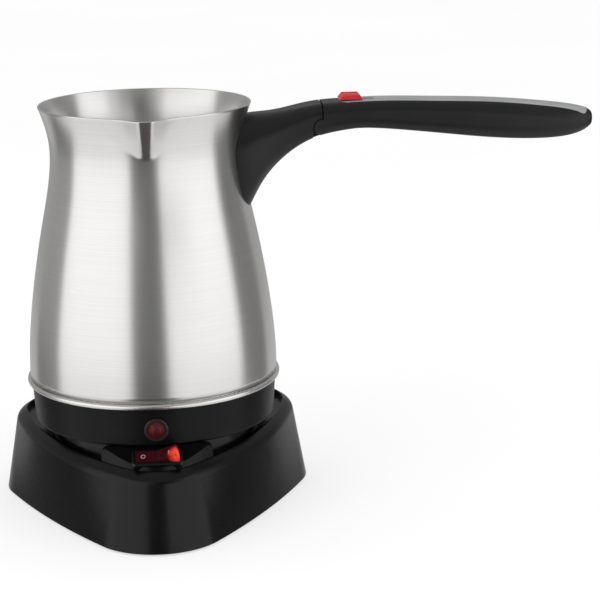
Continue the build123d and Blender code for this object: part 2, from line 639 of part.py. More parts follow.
with BuildPart() as switch_body:
    with BuildSketch(console):
        RectangleRounded(BEZEL_L, BEZEL_W, BEZEL_CORNER_R)
    extrude(amount=BEZEL_T)
    chamfer(switch_body.faces().sort_by(Axis.Z)[-1].edges(), BEZEL_CHAMFER)
    with BuildSketch(console):
        Rectangle(SWITCH_L, SWITCH_W)
    extrude(amount=-SWITCH_DEPTH)
    with BuildSketch(console.offset(BEZEL_T)):
        Rectangle(opening_l, opening_w)
    extrude(amount=-SWITCH_CAVITY - BEZEL_T, mode=Mode.SUBTRACT)
    with BuildSketch(across):
        Circle(TRUNNION_R + SHAFT_RUN)
    extrude(amount=SWITCH_W / 2, both=True, mode=Mode.SUBTRACT)
finish("switch_body", switch_body.part)

with BuildPart() as switch_blades:
    with BuildSketch(console.offset(-SWITCH_DEPTH)):
        with GridLocations(2 * SWITCH_TERMINAL_X, 1, 2, 1):
            Rectangle(BLADE_T, BLADE_W)
    extrude(amount=-BLADE_LEN)
finish("switch_blades", switch_blades.part)

half_throw = radians(ROCKER_THROW / 2)
end_rise = ROCKER_RISE + 2 * ROCKER_R * tan(half_throw)
thrown_x = console.x_dir * cos(half_throw) + console.z_dir * sin(half_throw)
with BuildPart() as switch_rocker:
    with BuildSketch(Plane(origin=pivot, x_dir=thrown_x, z_dir=across.z_dir)):
        with BuildLine():
            Polyline(
                (-2 * ROCKER_R, end_rise),
                (0, ROCKER_RISE),
                (2 * ROCKER_R, end_rise),
                (2 * ROCKER_R, -ROCKER_KEEL),
                (-2 * ROCKER_R, -ROCKER_KEEL),
                close=True,
            )
        make_face()
        Circle(ROCKER_R, mode=Mode.INTERSECT)
    extrude(amount=opening_w / 2 - ROCKER_GAP, both=True)
    with BuildSketch(across):
        Circle(TRUNNION_R)
    extrude(amount=SWITCH_W / 2 - FIT, both=True)
finish("switch_rocker", switch_rocker.part)

# ---- Leads inside the base -----------------------------------------------------------------------
blade_end_z = flange_under_z - BLADE_LEN
block_front = BLOCK_Y - BLOCK_W / 2
in_block, out_of_block = block_front + LEAD_IN_BLOCK, block_front - LEAD_STUB
live_end, switched_end = (
    console.from_local_coords((x, 0, -SWITCH_DEPTH - BLADE_LEN))
    for x in (-SWITCH_TERMINAL_X, SWITCH_TERMINAL_X)
)
live_turn, switched_turn = (
    console.from_local_coords((x, 0, -SWITCH_DEPTH - 2 * BLADE_LEN))
    for x in (-SWITCH_TERMINAL_X, SWITCH_TERMINAL_X)
)
back_blade, left_blade, right_blade = (polar(BLADE_REACH, azimuth) for azimuth in (90, 210, 330))

with BuildPart() as base_leads:
    add(lead([
        (-BLOCK_PITCH, in_block, LEAD_Z), (-BLOCK_PITCH, out_of_block, LEAD_Z),
        (-LIVE_LANE_X, LIVE_LANE_FROM_Y, LEAD_Z), (-LIVE_LANE_X, LIVE_LANE_TO_Y, LEAD_Z),
        live_turn, live_end,
    ]))
    add(lead([(0, in_block, LEAD_Z), (*back_blade, LEAD_Z), (*back_blade, blade_end_z)]))
    add(lead([
        (BLOCK_PITCH, in_block, LEAD_Z), (BLOCK_PITCH, NEUTRAL_TURN_Y, LEAD_Z),
        (*right_blade, LEAD_Z), (*right_blade, blade_end_z),
    ]))
    add(lead([
        switched_end, switched_turn, (0, SWITCHED_TURN_Y, LEAD_Z),
        (*left_blade, LEAD_Z), (*left_blade, blade_end_z),
    ]))
finish("base_leads", base_leads.part)

# ---- Jug shell -----------------------------------------------------------------------------------
with BuildPart() as jug_shell:
    add(jug_body())
    add(spout_wedge())
    add(jug_body(-WALL), mode=Mode.SUBTRACT)
    add(spout_wedge(WALL), mode=Mode.SUBTRACT)
finish("jug_shell", jug_shell.part)

# ---- Jug floor with the rolled seam --------------------------------------------------------------
pan_r = SHELL_R - WALL - SHAFT_RUN
with BuildPart() as bottom_pan:
    with BuildSketch(Plane.XZ) as pan_section:
        with Locations((0, PAN_FLOOR_Z)):
            Rectangle(pan_r, PAN_T, align=(Align.MIN, Align.MIN))
        with Locations((pan_r, PAN_FLOOR_Z + PAN_T)):
            Rectangle(WALL, PAN_FLOOR_Z + PAN_T - BEAD_Z, align=(Align.MAX, Align.MAX))
        fillet(pan_section.vertices().group_by(Axis.Y)[-1].sort_by(Axis.X)[-1], PAN_T / 2)
        with Locations((pan_r + WALL, BEAD_Z)):
            Circle(BEAD_R)
    revolve(axis=Axis.Z)
finish("bottom_pan", bottom_pan.part)

# ---- Heater: cast plate, sheathed element, thermostat --------------------------------------------
element_z = PLATE_Z - ELEMENT_TUBE_R
element_start = 90 + ELEMENT_GAP / 2
pin_azimuths = (element_start + COLD_PIN_INSET, 180 - element_start - COLD_PIN_INSET)

with BuildPart() as heater_plate:
    with BuildSketch(Plane.XY.offset(PLATE_Z)):
        Circle(SHELL_R - PLATE_INSET)
    extrude(amount=PLATE_T)
    with BuildSketch(Plane.XY.offset(HOUSING_BOSS_Z)):
        with PolarLocations(HOUSING_BOSS_REACH, 3, start_angle=SIDES[0]):
            Circle(HOUSING_BOSS_R)
    extrude(amount=PLATE_Z - HOUSING_BOSS_Z)
    with BuildSketch(Plane.XY.offset(HOUSING_BOSS_Z)):
        with PolarLocations(HOUSING_BOSS_REACH, 3, start_angle=SIDES[0]):
            Circle(SCREW_R)
    extrude(amount=SCREW_LEN, mode=Mode.SUBTRACT)
finish("heater_plate", heater_plate.part)

first_end = Plane(
    origin=(0, 0, 0),
    x_dir=(*polar(1, element_start), 0),
    z_dir=(*polar(1, element_start - 90), 0),
)
with BuildPart() as heating_element:
    with BuildSketch(first_end):
        with Locations((ELEMENT_R, element_z)):
            Circle(ELEMENT_TUBE_R)
    revolve(axis=Axis.Z, revolution_arc=360 - ELEMENT_GAP)
    with BuildSketch(Plane.XY.offset(element_z)):
        with Locations(*(polar(ELEMENT_R, azimuth) for azimuth in pin_azimuths)):
            Circle(COLD_PIN_R)
    extrude(amount=-COLD_PIN_LEN - ELEMENT_TUBE_R)
finish("heating_element", heating_element.part)

with BuildPart() as thermostat:
    with BuildSketch(Plane.XY.offset(PLATE_Z)):
        with Locations((0, THERMOSTAT_REACH)):
            Circle(THERMOSTAT_R)
    extrude(amount=-THERMOSTAT_H)
    chamfer(thermostat.edges().group_by(Axis.Z)[0], THERMOSTAT_CHAMFER)
finish("thermostat", thermostat.part)

# ---- Lower housing -------------------------------------------------------------------------------
housing_floor_z = SEAT_Z + HOUSING_FLOOR_T
with BuildPart() as lower_housing:
    with BuildSketch(Plane.XZ) as housing_section:
        with BuildLine():
            Polyline(
                (SOCKET_R + FIT, SEAT_Z),
                (COLLAR_FOOT_R, SEAT_Z),
                (COLLAR_TOP_R, COLLAR_TOP_Z),
                (COLLAR_TOP_R - COLLAR_WALL, COLLAR_TOP_Z),
                (COLLAR_FOOT_R - COLLAR_WALL, housing_floor_z),
                (SOCKET_R + FIT, housing_floor_z),
                close=True,
            )
        make_face()
        fillet(housing_section.vertices().group_by(Axis.Y)[0].sort_by(Axis.X)[-1], COLLAR_FOOT_ROUND)
    revolve(axis=Axis.Z)
    with BuildSketch(Plane.XY.offset(housing_floor_z)):
        with PolarLocations(HOUSING_BOSS_REACH, 3, start_angle=SIDES[0]):
            Circle(HOUSING_BOSS_R + SHAFT_RUN)
    extrude(amount=HOUSING_BOSS_Z - housing_floor_z)
    with BuildSketch(Plane.XY.offset(SEAT_Z)):
        with PolarLocations(HOUSING_BOSS_REACH, 3, start_angle=SIDES[0]):
            Circle(SCREW_R + FIT)
    extrude(amount=HOUSING_BOSS_H, mode=Mode.SUBTRACT)
    with BuildSketch(Plane.XY.offset(SEAT_Z)):
        with PolarLocations(HOUSING_BOSS_REACH, 3, start_angle=SIDES[0]):
            Circle(SCREW_HEAD_R + FIT)
    extrude(amount=HOUSING_BOSS_H - HOUSING_BOSS_FLOOR, mode=Mode.SUBTRACT)
    with BuildSketch(Plane.XZ.offset(SEAT_R)):
        with Locations((0, LAMP_Z)):
            Circle(LAMP_BARREL_R)
    extrude(amount=SHELL_R - SEAT_R, mode=Mode.SUBTRACT)
finish("lower_housing", lower_housing.part)

with BuildPart() as housing_screws:
    with PolarLocations(HOUSING_BOSS_REACH, 3, start_angle=SIDES[0]):
        with Locations((0, 0, HOUSING_BOSS_Z - HOUSING_BOSS_FLOOR)):
            add(screw())
finish("housing_screws", housing_screws.part)

# ---- Indicator lamp ------------------------------------------------------------------------------
collar_lean = (COLLAR_TOP_R - COLLAR_FOOT_R) / COLLAR_H
lamp_wall_y = COLLAR_FOOT_R + collar_lean * (LAMP_RISE + LAMP_FLANGE_R)
lamp_face = Plane.XZ.offset(lamp_wall_y + LAMP_FLANGE_T)
lens_y = -(lamp_wall_y + LAMP_FLANGE_T)

with BuildPart() as lamp_bezel:
    with BuildSketch(lamp_face):
        with Locations((0, LAMP_Z)):
            Circle(LAMP_FLANGE_R)
    extrude(amount=-LAMP_FLANGE_T)
    fillet(lamp_bezel.edges().sort_by(Axis.Y)[0], LAMP_FLANGE_T / 2)
    with BuildSketch(lamp_face):
        with Locations((0, LAMP_Z)):
            Circle(LAMP_BARREL_R - SHAFT_RUN)
    extrude(amount=-LAMP_DEPTH)
    with BuildSketch(lamp_face):
        with Locations((0, LAMP_Z)):
            Circle(LENS_R)
    extrude(amount=-LAMP_DEPTH, mode=Mode.SUBTRACT)
finish("lamp_bezel", lamp_bezel.part)

with BuildPart() as lamp_lens:
    with BuildSketch(Plane.YZ):
        with BuildLine():
            Line((lens_y + LENS_BACK, LAMP_Z), (lens_y + LENS_BACK, LAMP_Z + LENS_R))
            Line((lens_y + LENS_BACK, LAMP_Z + LENS_R), (lens_y + LENS_SEAT, LAMP_Z + LENS_R))
            Spline(
                (lens_y + LENS_SEAT, LAMP_Z + LENS_R), (lens_y - LENS_DOME, LAMP_Z),
                tangents=((-LENS_LEAN, -1), (0, -1)),
            )
            Line((lens_y - LENS_DOME, LAMP_Z), (lens_y + LENS_BACK, LAMP_Z))
        make_face()
    revolve(axis=Axis((0, 0, LAMP_Z), (0, 1, 0)))
finish("lamp_lens", lamp_lens.part)

with BuildPart() as neon_lamp:
    with BuildSketch(lamp_face.offset(-BULB_SET_BACK)):
        with Locations((0, LAMP_Z)):
            Circle(BULB_R)
    extrude(amount=-BULB_LEN)
    fillet(neon_lamp.edges().sort_by(Axis.Y)[0], BULB_TIP_ROUND)
finish("neon_lamp", neon_lamp.part)

# ---- Jug half of the connector -------------------------------------------------------------------
with BuildPart() as jug_connector:
    with BuildSketch(Plane.XY.offset(SOCKET_FOOT_Z)):
        Circle(SOCKET_R)
    extrude(amount=SEAT_Z + SOCKET_H - SOCKET_FOOT_Z)
    with BuildSketch(Plane.XY.offset(housing_floor_z)):
        Circle(SOCKET_R + SOCKET_FLANGE_W)
    extrude(amount=SOCKET_FLANGE_T)
    with BuildSketch(Plane.XY.offset(SOCKET_FOOT_Z)):
        Circle(SPIGOT_R + SOCKET_GAP)
    extrude(amount=SOCKET_TOP - SOCKET_FOOT_Z, mode=Mode.SUBTRACT)
    chamfer(jug_connector.edges().group_by(Axis.Z)[0].sort_by(SortBy.LENGTH)[0], SOCKET_CHAMFER)
finish("jug_connector", jug_connector.part)

with BuildPart() as connector_contacts:
    with BuildSketch(Plane.XY.offset(SOCKET_TOP)):
        Circle(EARTH_PIN_R)
    extrude(amount=SOCKET_FOOT_Z - SOCKET_TOP + EARTH_PIN_SET_BACK)
    chamfer(connector_contacts.edges().group_by(Axis.Z)[0], EARTH_PIN_CHAMFER)
    with BuildSketch(Plane.XY.offset(SOCKET_TOP)):
        Circle(CONTACT_R + CONTACT_W)
        Circle(CONTACT_R, mode=Mode.SUBTRACT)
    extrude(amount=-CONTACT_LEN)
finish("connector_contacts", connector_contacts.part)

with BuildPart() as jug_leads:
    for azimuth in pin_azimuths:
        pin = Vector(*polar(ELEMENT_R, azimuth))
        start = Vector(*polar(SOCKET_R + LEAD_R, 90 + (azimuth - 90) * JUG_LEAD_SPREAD))
        run = pin - start
        start_plane = Plane(origin=(start.X, start.Y, SEAT_Z + JUG_LEAD_RISE), z_dir=run.normalized())
        with BuildSketch(start_plane):
            Circle(LEAD_R)
        extrude(amount=run.length - COLD_PIN_R - FIT)
finish("jug_leads", jug_leads.part)


# ---- Handle forms shared by bracket, grip and cover ----------------------------------------------
def handle_form():
    """The handle's outer form from the jug to its tip, lofted through its sections."""
    stations = []
    for section in HANDLE:
        middle = (section.top + section.bottom) / 2
        across_plane = Plane(origin=(section.x, 0, middle), x_dir=(0, 1, 0), z_dir=(1, 0, 0))
        with BuildSketch(across_plane) as station:
            RectangleRounded(section.width, section.top - section.bottom, section.edge_r)
        stations.append(station.sketch)
    with BuildPart() as form:
        loft(stations)
        fillet(form.faces().sort_by(Axis.X)[-1].edges(), TIP_ROUND)
    return form.part


def level(x, of_section):
    """Height of a line along the handle at x, between the two nearest sections."""
    for before, after in zip(HANDLE, HANDLE[1:]):
        if before.x <= x <= after.x:
            share = (x - before.x) / (after.x - before.x)
            return of_section(before) * (1 - share) + of_section(after) * share
    raise ValueError(f"x = {x} is off the handle")


def floor_level(x):
    """Underside of the grip at x."""
    return level(x, lambda s: s.bottom)


def handle_band(upper, lower, start_x, end_x, half_w):
    """Strip along the grip between two lines that follow its sections."""
    along = [section for section in HANDLE if section.x > HINGE_X - KNUCKLE_R - COVER_START]
    with BuildPart() as band:
        with BuildSketch(Plane.XZ):
            with BuildLine():
                top_line = Spline(*[(section.x, upper(section)) for section in along])
                bottom_line = Spline(*[(section.x, lower(section)) for section in along])
                Line(top_line @ 0, bottom_line @ 0)
                Line(top_line @ 1, bottom_line @ 1)
            make_face()
        extrude(amount=half_w, both=True)
        with BuildSketch(Plane.XY.offset(RIM_Z / 2)):
            with Locations(((start_x + end_x) / 2, 0)):
                RectangleRounded(end_x - start_x, 2 * half_w, half_w * COVER_CORNER)
        extrude(amount=RIM_Z, mode=Mode.INTERSECT)
    return band.part


def beyond(x, side):
    """Everything on one side of an upright plane across the handle: side is 1 for the tip's."""
    with BuildPart() as half:
        with BuildSketch(Plane.YZ.offset(x)):
            with Locations((0, HINGE_Z)):
                Rectangle(RIM_Z, RIM_Z)
        extrude(amount=side * RIM_Z)
    return half.part


def knuckle(radius, from_y, to_y):
    """Discs about the hinge's axis, one on each side, between two distances from the middle."""
    with BuildPart() as discs:
        for side in (1, -1):
            start = Plane(origin=(HINGE_X, side * from_y, HINGE_Z), x_dir=(1, 0, 0), z_dir=(0, side, 0))
            with BuildSketch(start):
                Circle(radius)
            extrude(amount=to_y - from_y)
    return discs.part


def below_hinge(start_x, end_x, from_y, to_y):
    """Blocks below the hinge's axis, one on each side, between two distances from the middle."""
    with BuildPart() as blocks:
        with BuildSketch(Plane.XY.offset(HINGE_Z)):
            for side in (1, -1):
                with Locations(((start_x + end_x) / 2, side * (from_y + to_y) / 2)):
                    Rectangle(end_x - start_x, to_y - from_y)
        extrude(amount=-4 * KNUCKLE_R)
    return blocks.part


def handle_clip_form(grow=0.0):
    """Welded clip on the neck, a curved pad with a tongue, all faces moved out by grow."""
    with BuildPart() as clip:
        add(jug_body(CLIP_T + grow))
        with BuildSketch(Plane.YZ.offset(NECK_R / 2)):
            with Locations((0, CLIP_Z)):
                RectangleRounded(CLIP_W + 2 * grow, CLIP_H + 2 * grow, CLIP_CORNER_R)
        extrude(amount=NECK_R, mode=Mode.INTERSECT)
        with BuildSketch(Plane.XZ):
            with Locations((NECK_R, CLIP_Z)):
                Rectangle(TONGUE_REACH + grow, CLIP_T + 2 * grow, align=(Align.MIN, Align.CENTER))
        extrude(amount=TONGUE_W / 2 + grow, both=True)
        add(jug_body(), mode=Mode.SUBTRACT)
    return clip.part


form = handle_form()

# ---- Welded clip, handle bracket, its screw and the hinge pin ------------------------------------
bracket_screw_z = CLIP_Z - CLIP_T / 2 - TONGUE_SCREW_FLOOR
with BuildPart() as handle_clip:
    add(handle_clip_form())
    with BuildSketch(Plane.XY.offset(CLIP_Z - CLIP_T)):
        with Locations((BRACKET_SCREW_X, 0)):
            Circle(SCREW_R)
    extrude(amount=2 * CLIP_T, mode=Mode.SUBTRACT)
finish("handle_clip", handle_clip.part)

with BuildPart() as lug:
    add(form)
    add(knuckle(KNUCKLE_R, 0, LUG_HALF_W), mode=Mode.INTERSECT)

with BuildPart() as handle_bracket:
    add(form)
    add(beyond(SEAM_X - SEAM_GAP / 2, 1), mode=Mode.SUBTRACT)
    add(jug_body(FIT), mode=Mode.SUBTRACT)
    add(handle_clip_form(FIT), mode=Mode.SUBTRACT)
    # pockets for the cheeks of the grip, and the middle lug between them
    add(knuckle(KNUCKLE_R + HINGE_GAP, LUG_HALF_W, HANDLE_W / 2), mode=Mode.SUBTRACT)
    add(
        below_hinge(HINGE_X - KNUCKLE_R - HINGE_GAP, SEAM_X, LUG_HALF_W, HANDLE_W / 2),
        mode=Mode.SUBTRACT,
    )
    add(lug.part)
    add(knuckle(HINGE_PIN_R, 0, HANDLE_W / 2), mode=Mode.SUBTRACT)
    # pocket for the nose of the latch bolt, high enough for the nose to swing out
    with BuildSketch(Plane.YZ.offset(BOLT_NOSE_X - 2 * RUN)):
        with Locations((0, BOLT_Z - BOLT_H / 2 - RUN)):
            Rectangle(
                2 * (BOLT_HALF_W + RUN), BOLT_H + BOLT_POCKET_RISE, align=(Align.CENTER, Align.MIN)
            )
    extrude(amount=BOLT_REACH + 2 * RUN, mode=Mode.SUBTRACT)
    # screw from below, its head sunk
    with BuildSketch(Plane.XY.offset(bracket_screw_z)):
        with Locations((BRACKET_SCREW_X, 0)):
            Circle(SCREW_HEAD_R + FIT)
    extrude(amount=-SCREW_LEN, mode=Mode.SUBTRACT)
    with BuildSketch(Plane.XY.offset(bracket_screw_z)):
        with Locations((BRACKET_SCREW_X, 0)):
            Circle(SCREW_R + FIT)
    extrude(amount=SCREW_LEN + FIT, mode=Mode.SUBTRACT)
finish("handle_bracket", handle_bracket.part)

with BuildPart() as bracket_screw:
    with Locations((BRACKET_SCREW_X, 0, bracket_screw_z)):
        add(screw())
finish("bracket_screw", bracket_screw.part)

pin_half = level(HINGE_X, lambda s: s.width) / 2 - HINGE_PIN_SUNK
pin_end = Plane(origin=(HINGE_X, -pin_half, HINGE_Z), x_dir=(1, 0, 0), z_dir=(0, 1, 0))
with BuildPart() as hinge_pin:
    with BuildSketch(pin_end):
        Circle(HINGE_PIN_R)
    extrude(amount=2 * pin_half)
    chamfer(hinge_pin.edges().filter_by(GeomType.CIRCLE), HINGE_PIN_CHAMFER)
finish("hinge_pin", hinge_pin.part)

# ---- Grip shell, cover and screws ----------------------------------------------------------------
bed_z = BOLT_Z - BOLT_H / 2 - RUN / 2
bed_w = 2 * (HOLLOW_HALF_W + RIB_LAP)

with BuildPart() as cheeks:
    add(form)
    add(knuckle(KNUCKLE_R, LUG_HALF_W + HINGE_GAP, HANDLE_W / 2), mode=Mode.INTERSECT)

with BuildPart() as grip_shell:
    add(form)
    add(beyond(SEAM_X + SEAM_GAP / 2, -1), mode=Mode.SUBTRACT)
    add(cheeks.part)
    # slot for the bracket's lug, open below
    add(knuckle(KNUCKLE_R + HINGE_GAP, 0, LUG_HALF_W + HINGE_GAP), mode=Mode.SUBTRACT)
    add(
        below_hinge(SEAM_X, HINGE_X + KNUCKLE_R + 2 * HINGE_GAP, 0, LUG_HALF_W + HINGE_GAP),
        mode=Mode.SUBTRACT,
    )
    with BuildSketch(pin_end):
        Circle(HINGE_PIN_R + SHAFT_RUN)
    extrude(amount=2 * HANDLE_W, mode=Mode.SUBTRACT)
    # hollow, and the seat of the cover above it
    add(
        handle_band(
            lambda s: s.top + BOLT_RISE, lambda s: s.bottom + GRIP_FLOOR,
            HOLLOW_START_X, HOLLOW_END_X, HOLLOW_HALF_W,
        ),
        mode=Mode.SUBTRACT,
    )
    add(
        handle_band(
            lambda s: s.top + BOLT_RISE, lambda s: s.top - COVER_SKIN - FIT,
            COVER_START_X - FIT, COVER_END_X + FIT, COVER_HALF_W + FIT,
        ),
        mode=Mode.SUBTRACT,
    )
    # bed of the latch bolt, and the rib that backs its spring
    with BuildSketch(Plane.XY.offset(bed_z)):
        with Locations(((HOLLOW_START_X + BOLT_TAIL_X) / 2 - BED_LAP, 0)):
            Rectangle(BOLT_TAIL_X - HOLLOW_START_X, bed_w)
    extrude(amount=-BED_T)
    with BuildSketch(Plane.XY.offset(floor_level(RIB_X) + GRIP_FLOOR / 2)):
        with Locations((RIB_X + RIB_T / 2, 0)):
            Rectangle(RIB_T, bed_w)
    extrude(amount=BOLT_Z + SPRING_R + RUN - floor_level(RIB_X) - GRIP_FLOOR / 2)
    with BuildSketch(Plane.YZ.offset(SEAM_X)):
        with Locations((0, BOLT_Z)):
            Rectangle(2 * (BOLT_HALF_W + RUN), BOLT_H + RUN)
    extrude(amount=HOLLOW_START_X + BED_LAP - SEAM_X, mode=Mode.SUBTRACT)
    # bosses and holes for the two screws
    for x in GRIP_SCREW_XS:
        with BuildSketch(Plane.XY.offset(floor_level(x) + GRIP_FLOOR / 2)):
            with Locations((x, 0)):
                Circle(SCREW_HEAD_R + GRIP_BOSS_WALL)
        extrude(amount=GRIP_FLOOR / 2 + HEAD_RECESS)
        with BuildSketch(Plane.XY.offset(floor_level(x) + GRIP_FLOOR)):
            with Locations((x, 0)):
                Circle(SCREW_HEAD_R + FIT)
        extrude(amount=-SCREW_LEN, mode=Mode.SUBTRACT)
        with BuildSketch(Plane.XY.offset(floor_level(x))):
            with Locations((x, 0)):
                Circle(SCREW_R + FIT)
        extrude(amount=SCREW_LEN, mode=Mode.SUBTRACT)
finish("grip_shell", grip_shell.part)

slot_start, slot_end = STEM_X - STEM_LEN / 2 - RUN, SLIDE_END_X + SLIDE_TRAVEL + RUN
with BuildPart() as grip_cover:
    add(form)
    add(
        handle_band(
            lambda s: s.top + BOLT_RISE, lambda s: s.top - COVER_SKIN,
            COVER_START_X, COVER_END_X, COVER_HALF_W,
        ),
        mode=Mode.INTERSECT,
    )
    for x in GRIP_SCREW_XS:
        post_foot = floor_level(x) + GRIP_FLOOR + HEAD_RECESS + FIT
        with BuildSketch(Plane.XY.offset(post_foot)):
            with Locations((x, 0)):
                Circle(POST_R)
        extrude(amount=level(x, lambda s: s.top) - COVER_SKIN / 2 - post_foot)
        with BuildSketch(Plane.XY.offset(post_foot)):
            with Locations((x, 0)):
                Circle(SCREW_R)
        extrude(amount=SCREW_LEN - HEAD_RECESS, mode=Mode.SUBTRACT)
    # slot for the stem of the release slide
    with BuildSketch(Plane.XY.offset(SLIDE_FOOT_Z)):
        with Locations(((slot_start + slot_end) / 2, 0)):
            RectangleRounded(slot_end - slot_start, 2 * (STEM_HALF_W + RUN), RUN)
    extrude(amount=-2 * COVER_SKIN - SLIDE_LIFT, mode=Mode.SUBTRACT)
finish("grip_cover", grip_cover.part)

with BuildPart() as grip_screws:
    for x in GRIP_SCREW_XS:
        with Locations((x, 0, floor_level(x) + GRIP_FLOOR)):
            add(screw())
finish("grip_screws", grip_screws.part)

# ---- Release slide, latch bolt and spring --------------------------------------------------------
with BuildPart() as release_slide:
    with BuildSketch(Plane.XZ) as slide_section:
        with BuildLine():
            Polyline(
                (SLIDE_START_X, SLIDE_FOOT_Z),
                (SLIDE_START_X + SLIDE_RAMP, SLIDE_FOOT_Z + SLIDE_H),
                (SLIDE_END_X - SLIDE_TAIL, SLIDE_FOOT_Z + SLIDE_H),
                (SLIDE_END_X, SLIDE_FOOT_Z),
                close=True,
            )
        make_face()
        fillet(slide_section.vertices().group_by(Axis.Y)[-1], SLIDE_ROUND)
    extrude(amount=SLIDE_HALF_W, both=True)
    with BuildSketch(Plane.XZ):
        with Locations((STEM_X, SLIDE_FOOT_Z + SLIDE_H + RIDGE_R - RIDGE_DEPTH)):
            with GridLocations(RIDGE_PITCH, 1, 5, 1):
                Circle(RIDGE_R)
    extrude(amount=SLIDE_HALF_W - RIDGE_INSET, both=True, mode=Mode.SUBTRACT)
    with BuildSketch(Plane.XY.offset(SLIDE_FOOT_Z)):
        with Locations((STEM_X, 0)):
            Rectangle(STEM_LEN, 2 * STEM_HALF_W)
    extrude(amount=BOLT_Z + BOLT_H / 2 - SLIDE_FOOT_Z)
    with BuildSketch(Plane.XY.offset(SLIDE_FOOT_Z)):
        with Locations((STEM_X, 0)):
            Rectangle(TONGUE_LEN, 2 * TONGUE_HALF_W)
    extrude(amount=BOLT_Z - BOLT_H / 2 + FIT - SLIDE_FOOT_Z)
finish("release_slide", release_slide.part)

with BuildPart() as latch_bolt:
    with BuildSketch(Plane.XZ) as bolt_section:
        with Locations((BOLT_NOSE_X, BOLT_Z)):
            Rectangle(BOLT_LEN, BOLT_H, align=(Align.MIN, Align.CENTER))
        chamfer(bolt_section.vertices().group_by(Axis.X)[0].sort_by(Axis.Y)[0], BOLT_NOSE_CHAMFER)
    extrude(amount=BOLT_HALF_W, both=True)
    with BuildSketch(Plane.XY.offset(BOLT_Z - BOLT_H)):
        with Locations((STEM_X, 0)):
            Rectangle(TONGUE_LEN, 2 * TONGUE_HALF_W)
    extrude(amount=2 * BOLT_H, mode=Mode.SUBTRACT)
    with BuildSketch(Plane.YZ.offset(BOLT_TAIL_X)):
        with Locations((0, BOLT_Z)):
            Circle(SPRING_R - 2 * SPRING_WIRE_R)
    extrude(amount=PEG_LEN)
finish("latch_bolt", latch_bolt.part)

with BuildPart() as latch_spring:
    with BuildLine() as coil:
        Helix(
            pitch=(SPRING_LEN - 2 * SPRING_WIRE_R) / SPRING_TURNS,
            height=SPRING_LEN - 2 * SPRING_WIRE_R,
            radius=SPRING_R,
            center=(BOLT_TAIL_X + SPRING_WIRE_R, 0, BOLT_Z),
            direction=(1, 0, 0),
        )
    with BuildSketch(Plane(origin=coil.line @ 0, z_dir=coil.line % 0)):
        Circle(SPRING_WIRE_R)
    sweep(is_frenet=True)
finish("latch_spring", latch_spring.part)
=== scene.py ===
"""Looks of an electric Turkish coffee maker: a steel jug with a folding handle on its power base.

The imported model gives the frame.  Each sub-assembly is a class that dresses its nodes with
procedural finishes and adds the surfaces that a solid model leaves plain.  Sizes are in
millimetres in the classes and in metres in Blender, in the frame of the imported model: the
origin is on the table under the jug's axis, +X points along the handle, -Y to the front.
"""

import json
import logging
import math
from dataclasses import dataclass, field
from enum import Enum
from typing import Any, Mapping

import bmesh
import bpy
import numpy as np
from mathutils import Matrix, Vector

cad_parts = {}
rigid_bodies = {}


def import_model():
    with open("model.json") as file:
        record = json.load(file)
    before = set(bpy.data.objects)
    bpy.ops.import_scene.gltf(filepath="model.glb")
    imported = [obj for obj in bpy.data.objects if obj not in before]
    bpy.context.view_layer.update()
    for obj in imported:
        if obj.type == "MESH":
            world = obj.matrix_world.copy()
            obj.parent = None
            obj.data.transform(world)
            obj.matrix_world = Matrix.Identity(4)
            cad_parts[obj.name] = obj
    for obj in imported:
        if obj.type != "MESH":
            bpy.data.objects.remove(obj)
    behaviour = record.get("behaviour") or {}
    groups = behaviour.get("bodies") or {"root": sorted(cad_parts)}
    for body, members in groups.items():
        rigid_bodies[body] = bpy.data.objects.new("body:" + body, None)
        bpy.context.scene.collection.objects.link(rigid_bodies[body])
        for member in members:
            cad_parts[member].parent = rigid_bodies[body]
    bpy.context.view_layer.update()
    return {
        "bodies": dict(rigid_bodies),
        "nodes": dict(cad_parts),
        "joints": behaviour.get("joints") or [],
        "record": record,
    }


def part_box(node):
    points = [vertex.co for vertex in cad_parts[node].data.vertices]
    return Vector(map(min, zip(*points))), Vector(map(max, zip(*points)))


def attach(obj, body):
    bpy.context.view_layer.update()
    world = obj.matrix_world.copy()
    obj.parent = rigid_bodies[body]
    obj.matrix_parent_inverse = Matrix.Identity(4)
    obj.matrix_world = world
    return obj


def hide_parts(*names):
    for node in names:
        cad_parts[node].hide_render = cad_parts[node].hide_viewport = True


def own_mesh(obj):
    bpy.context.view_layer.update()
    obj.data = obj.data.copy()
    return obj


LOG = logging.getLogger("coffee_maker")
MM = 0.001
WELD_MM = 0.001  # points closer together than this are one

Colour = tuple[float, float, float, float]
Span = tuple[float, float]
Tree = bpy.types.NodeTree
Socket = bpy.types.NodeSocket


# ---- Colours and node trees ----------------------------------------------------------------
def linear(code: str) -> Colour:
    """Turn an sRGB hex colour into linear light by the standard's own curve.

    Args:
        code: six hex digits, such as "1c1c1c".

    Returns:
        Red, green, blue and a full opacity, as Blender's sockets take them.
    """
    parts = [int(code[i : i + 2], 16) / 255 for i in (0, 2, 4)]
    light = [c / 12.92 if c <= 0.04045 else ((c + 0.055) / 1.055) ** 2.4 for c in parts]
    return (light[0], light[1], light[2], 1.0)


def add_node(
    tree: Tree,
    kind: str,
    settings: Mapping[str, Any] | None = None,
    values: Mapping[str | int, Any] | None = None,
    links: Mapping[str | int, Socket] | None = None,
) -> bpy.types.Node:
    """Add a node with its settings, socket values and incoming links.

    Args:
        tree: the node tree of a material or world.
        kind: Blender's name of the node type.
        settings: properties of the node itself.
        values: constants for its input sockets, by name or number.
        links: output sockets that feed its input sockets, by name or number.

    Returns:
        The new node.
    """
    node = tree.nodes.new(kind)
    for name, value in (settings or {}).items():
        setattr(node, name, value)
    for name, value in (values or {}).items():
        node.inputs[name].default_value = value
    for name, source in (links or {}).items():
        tree.links.new(source, node.inputs[name])
    return node


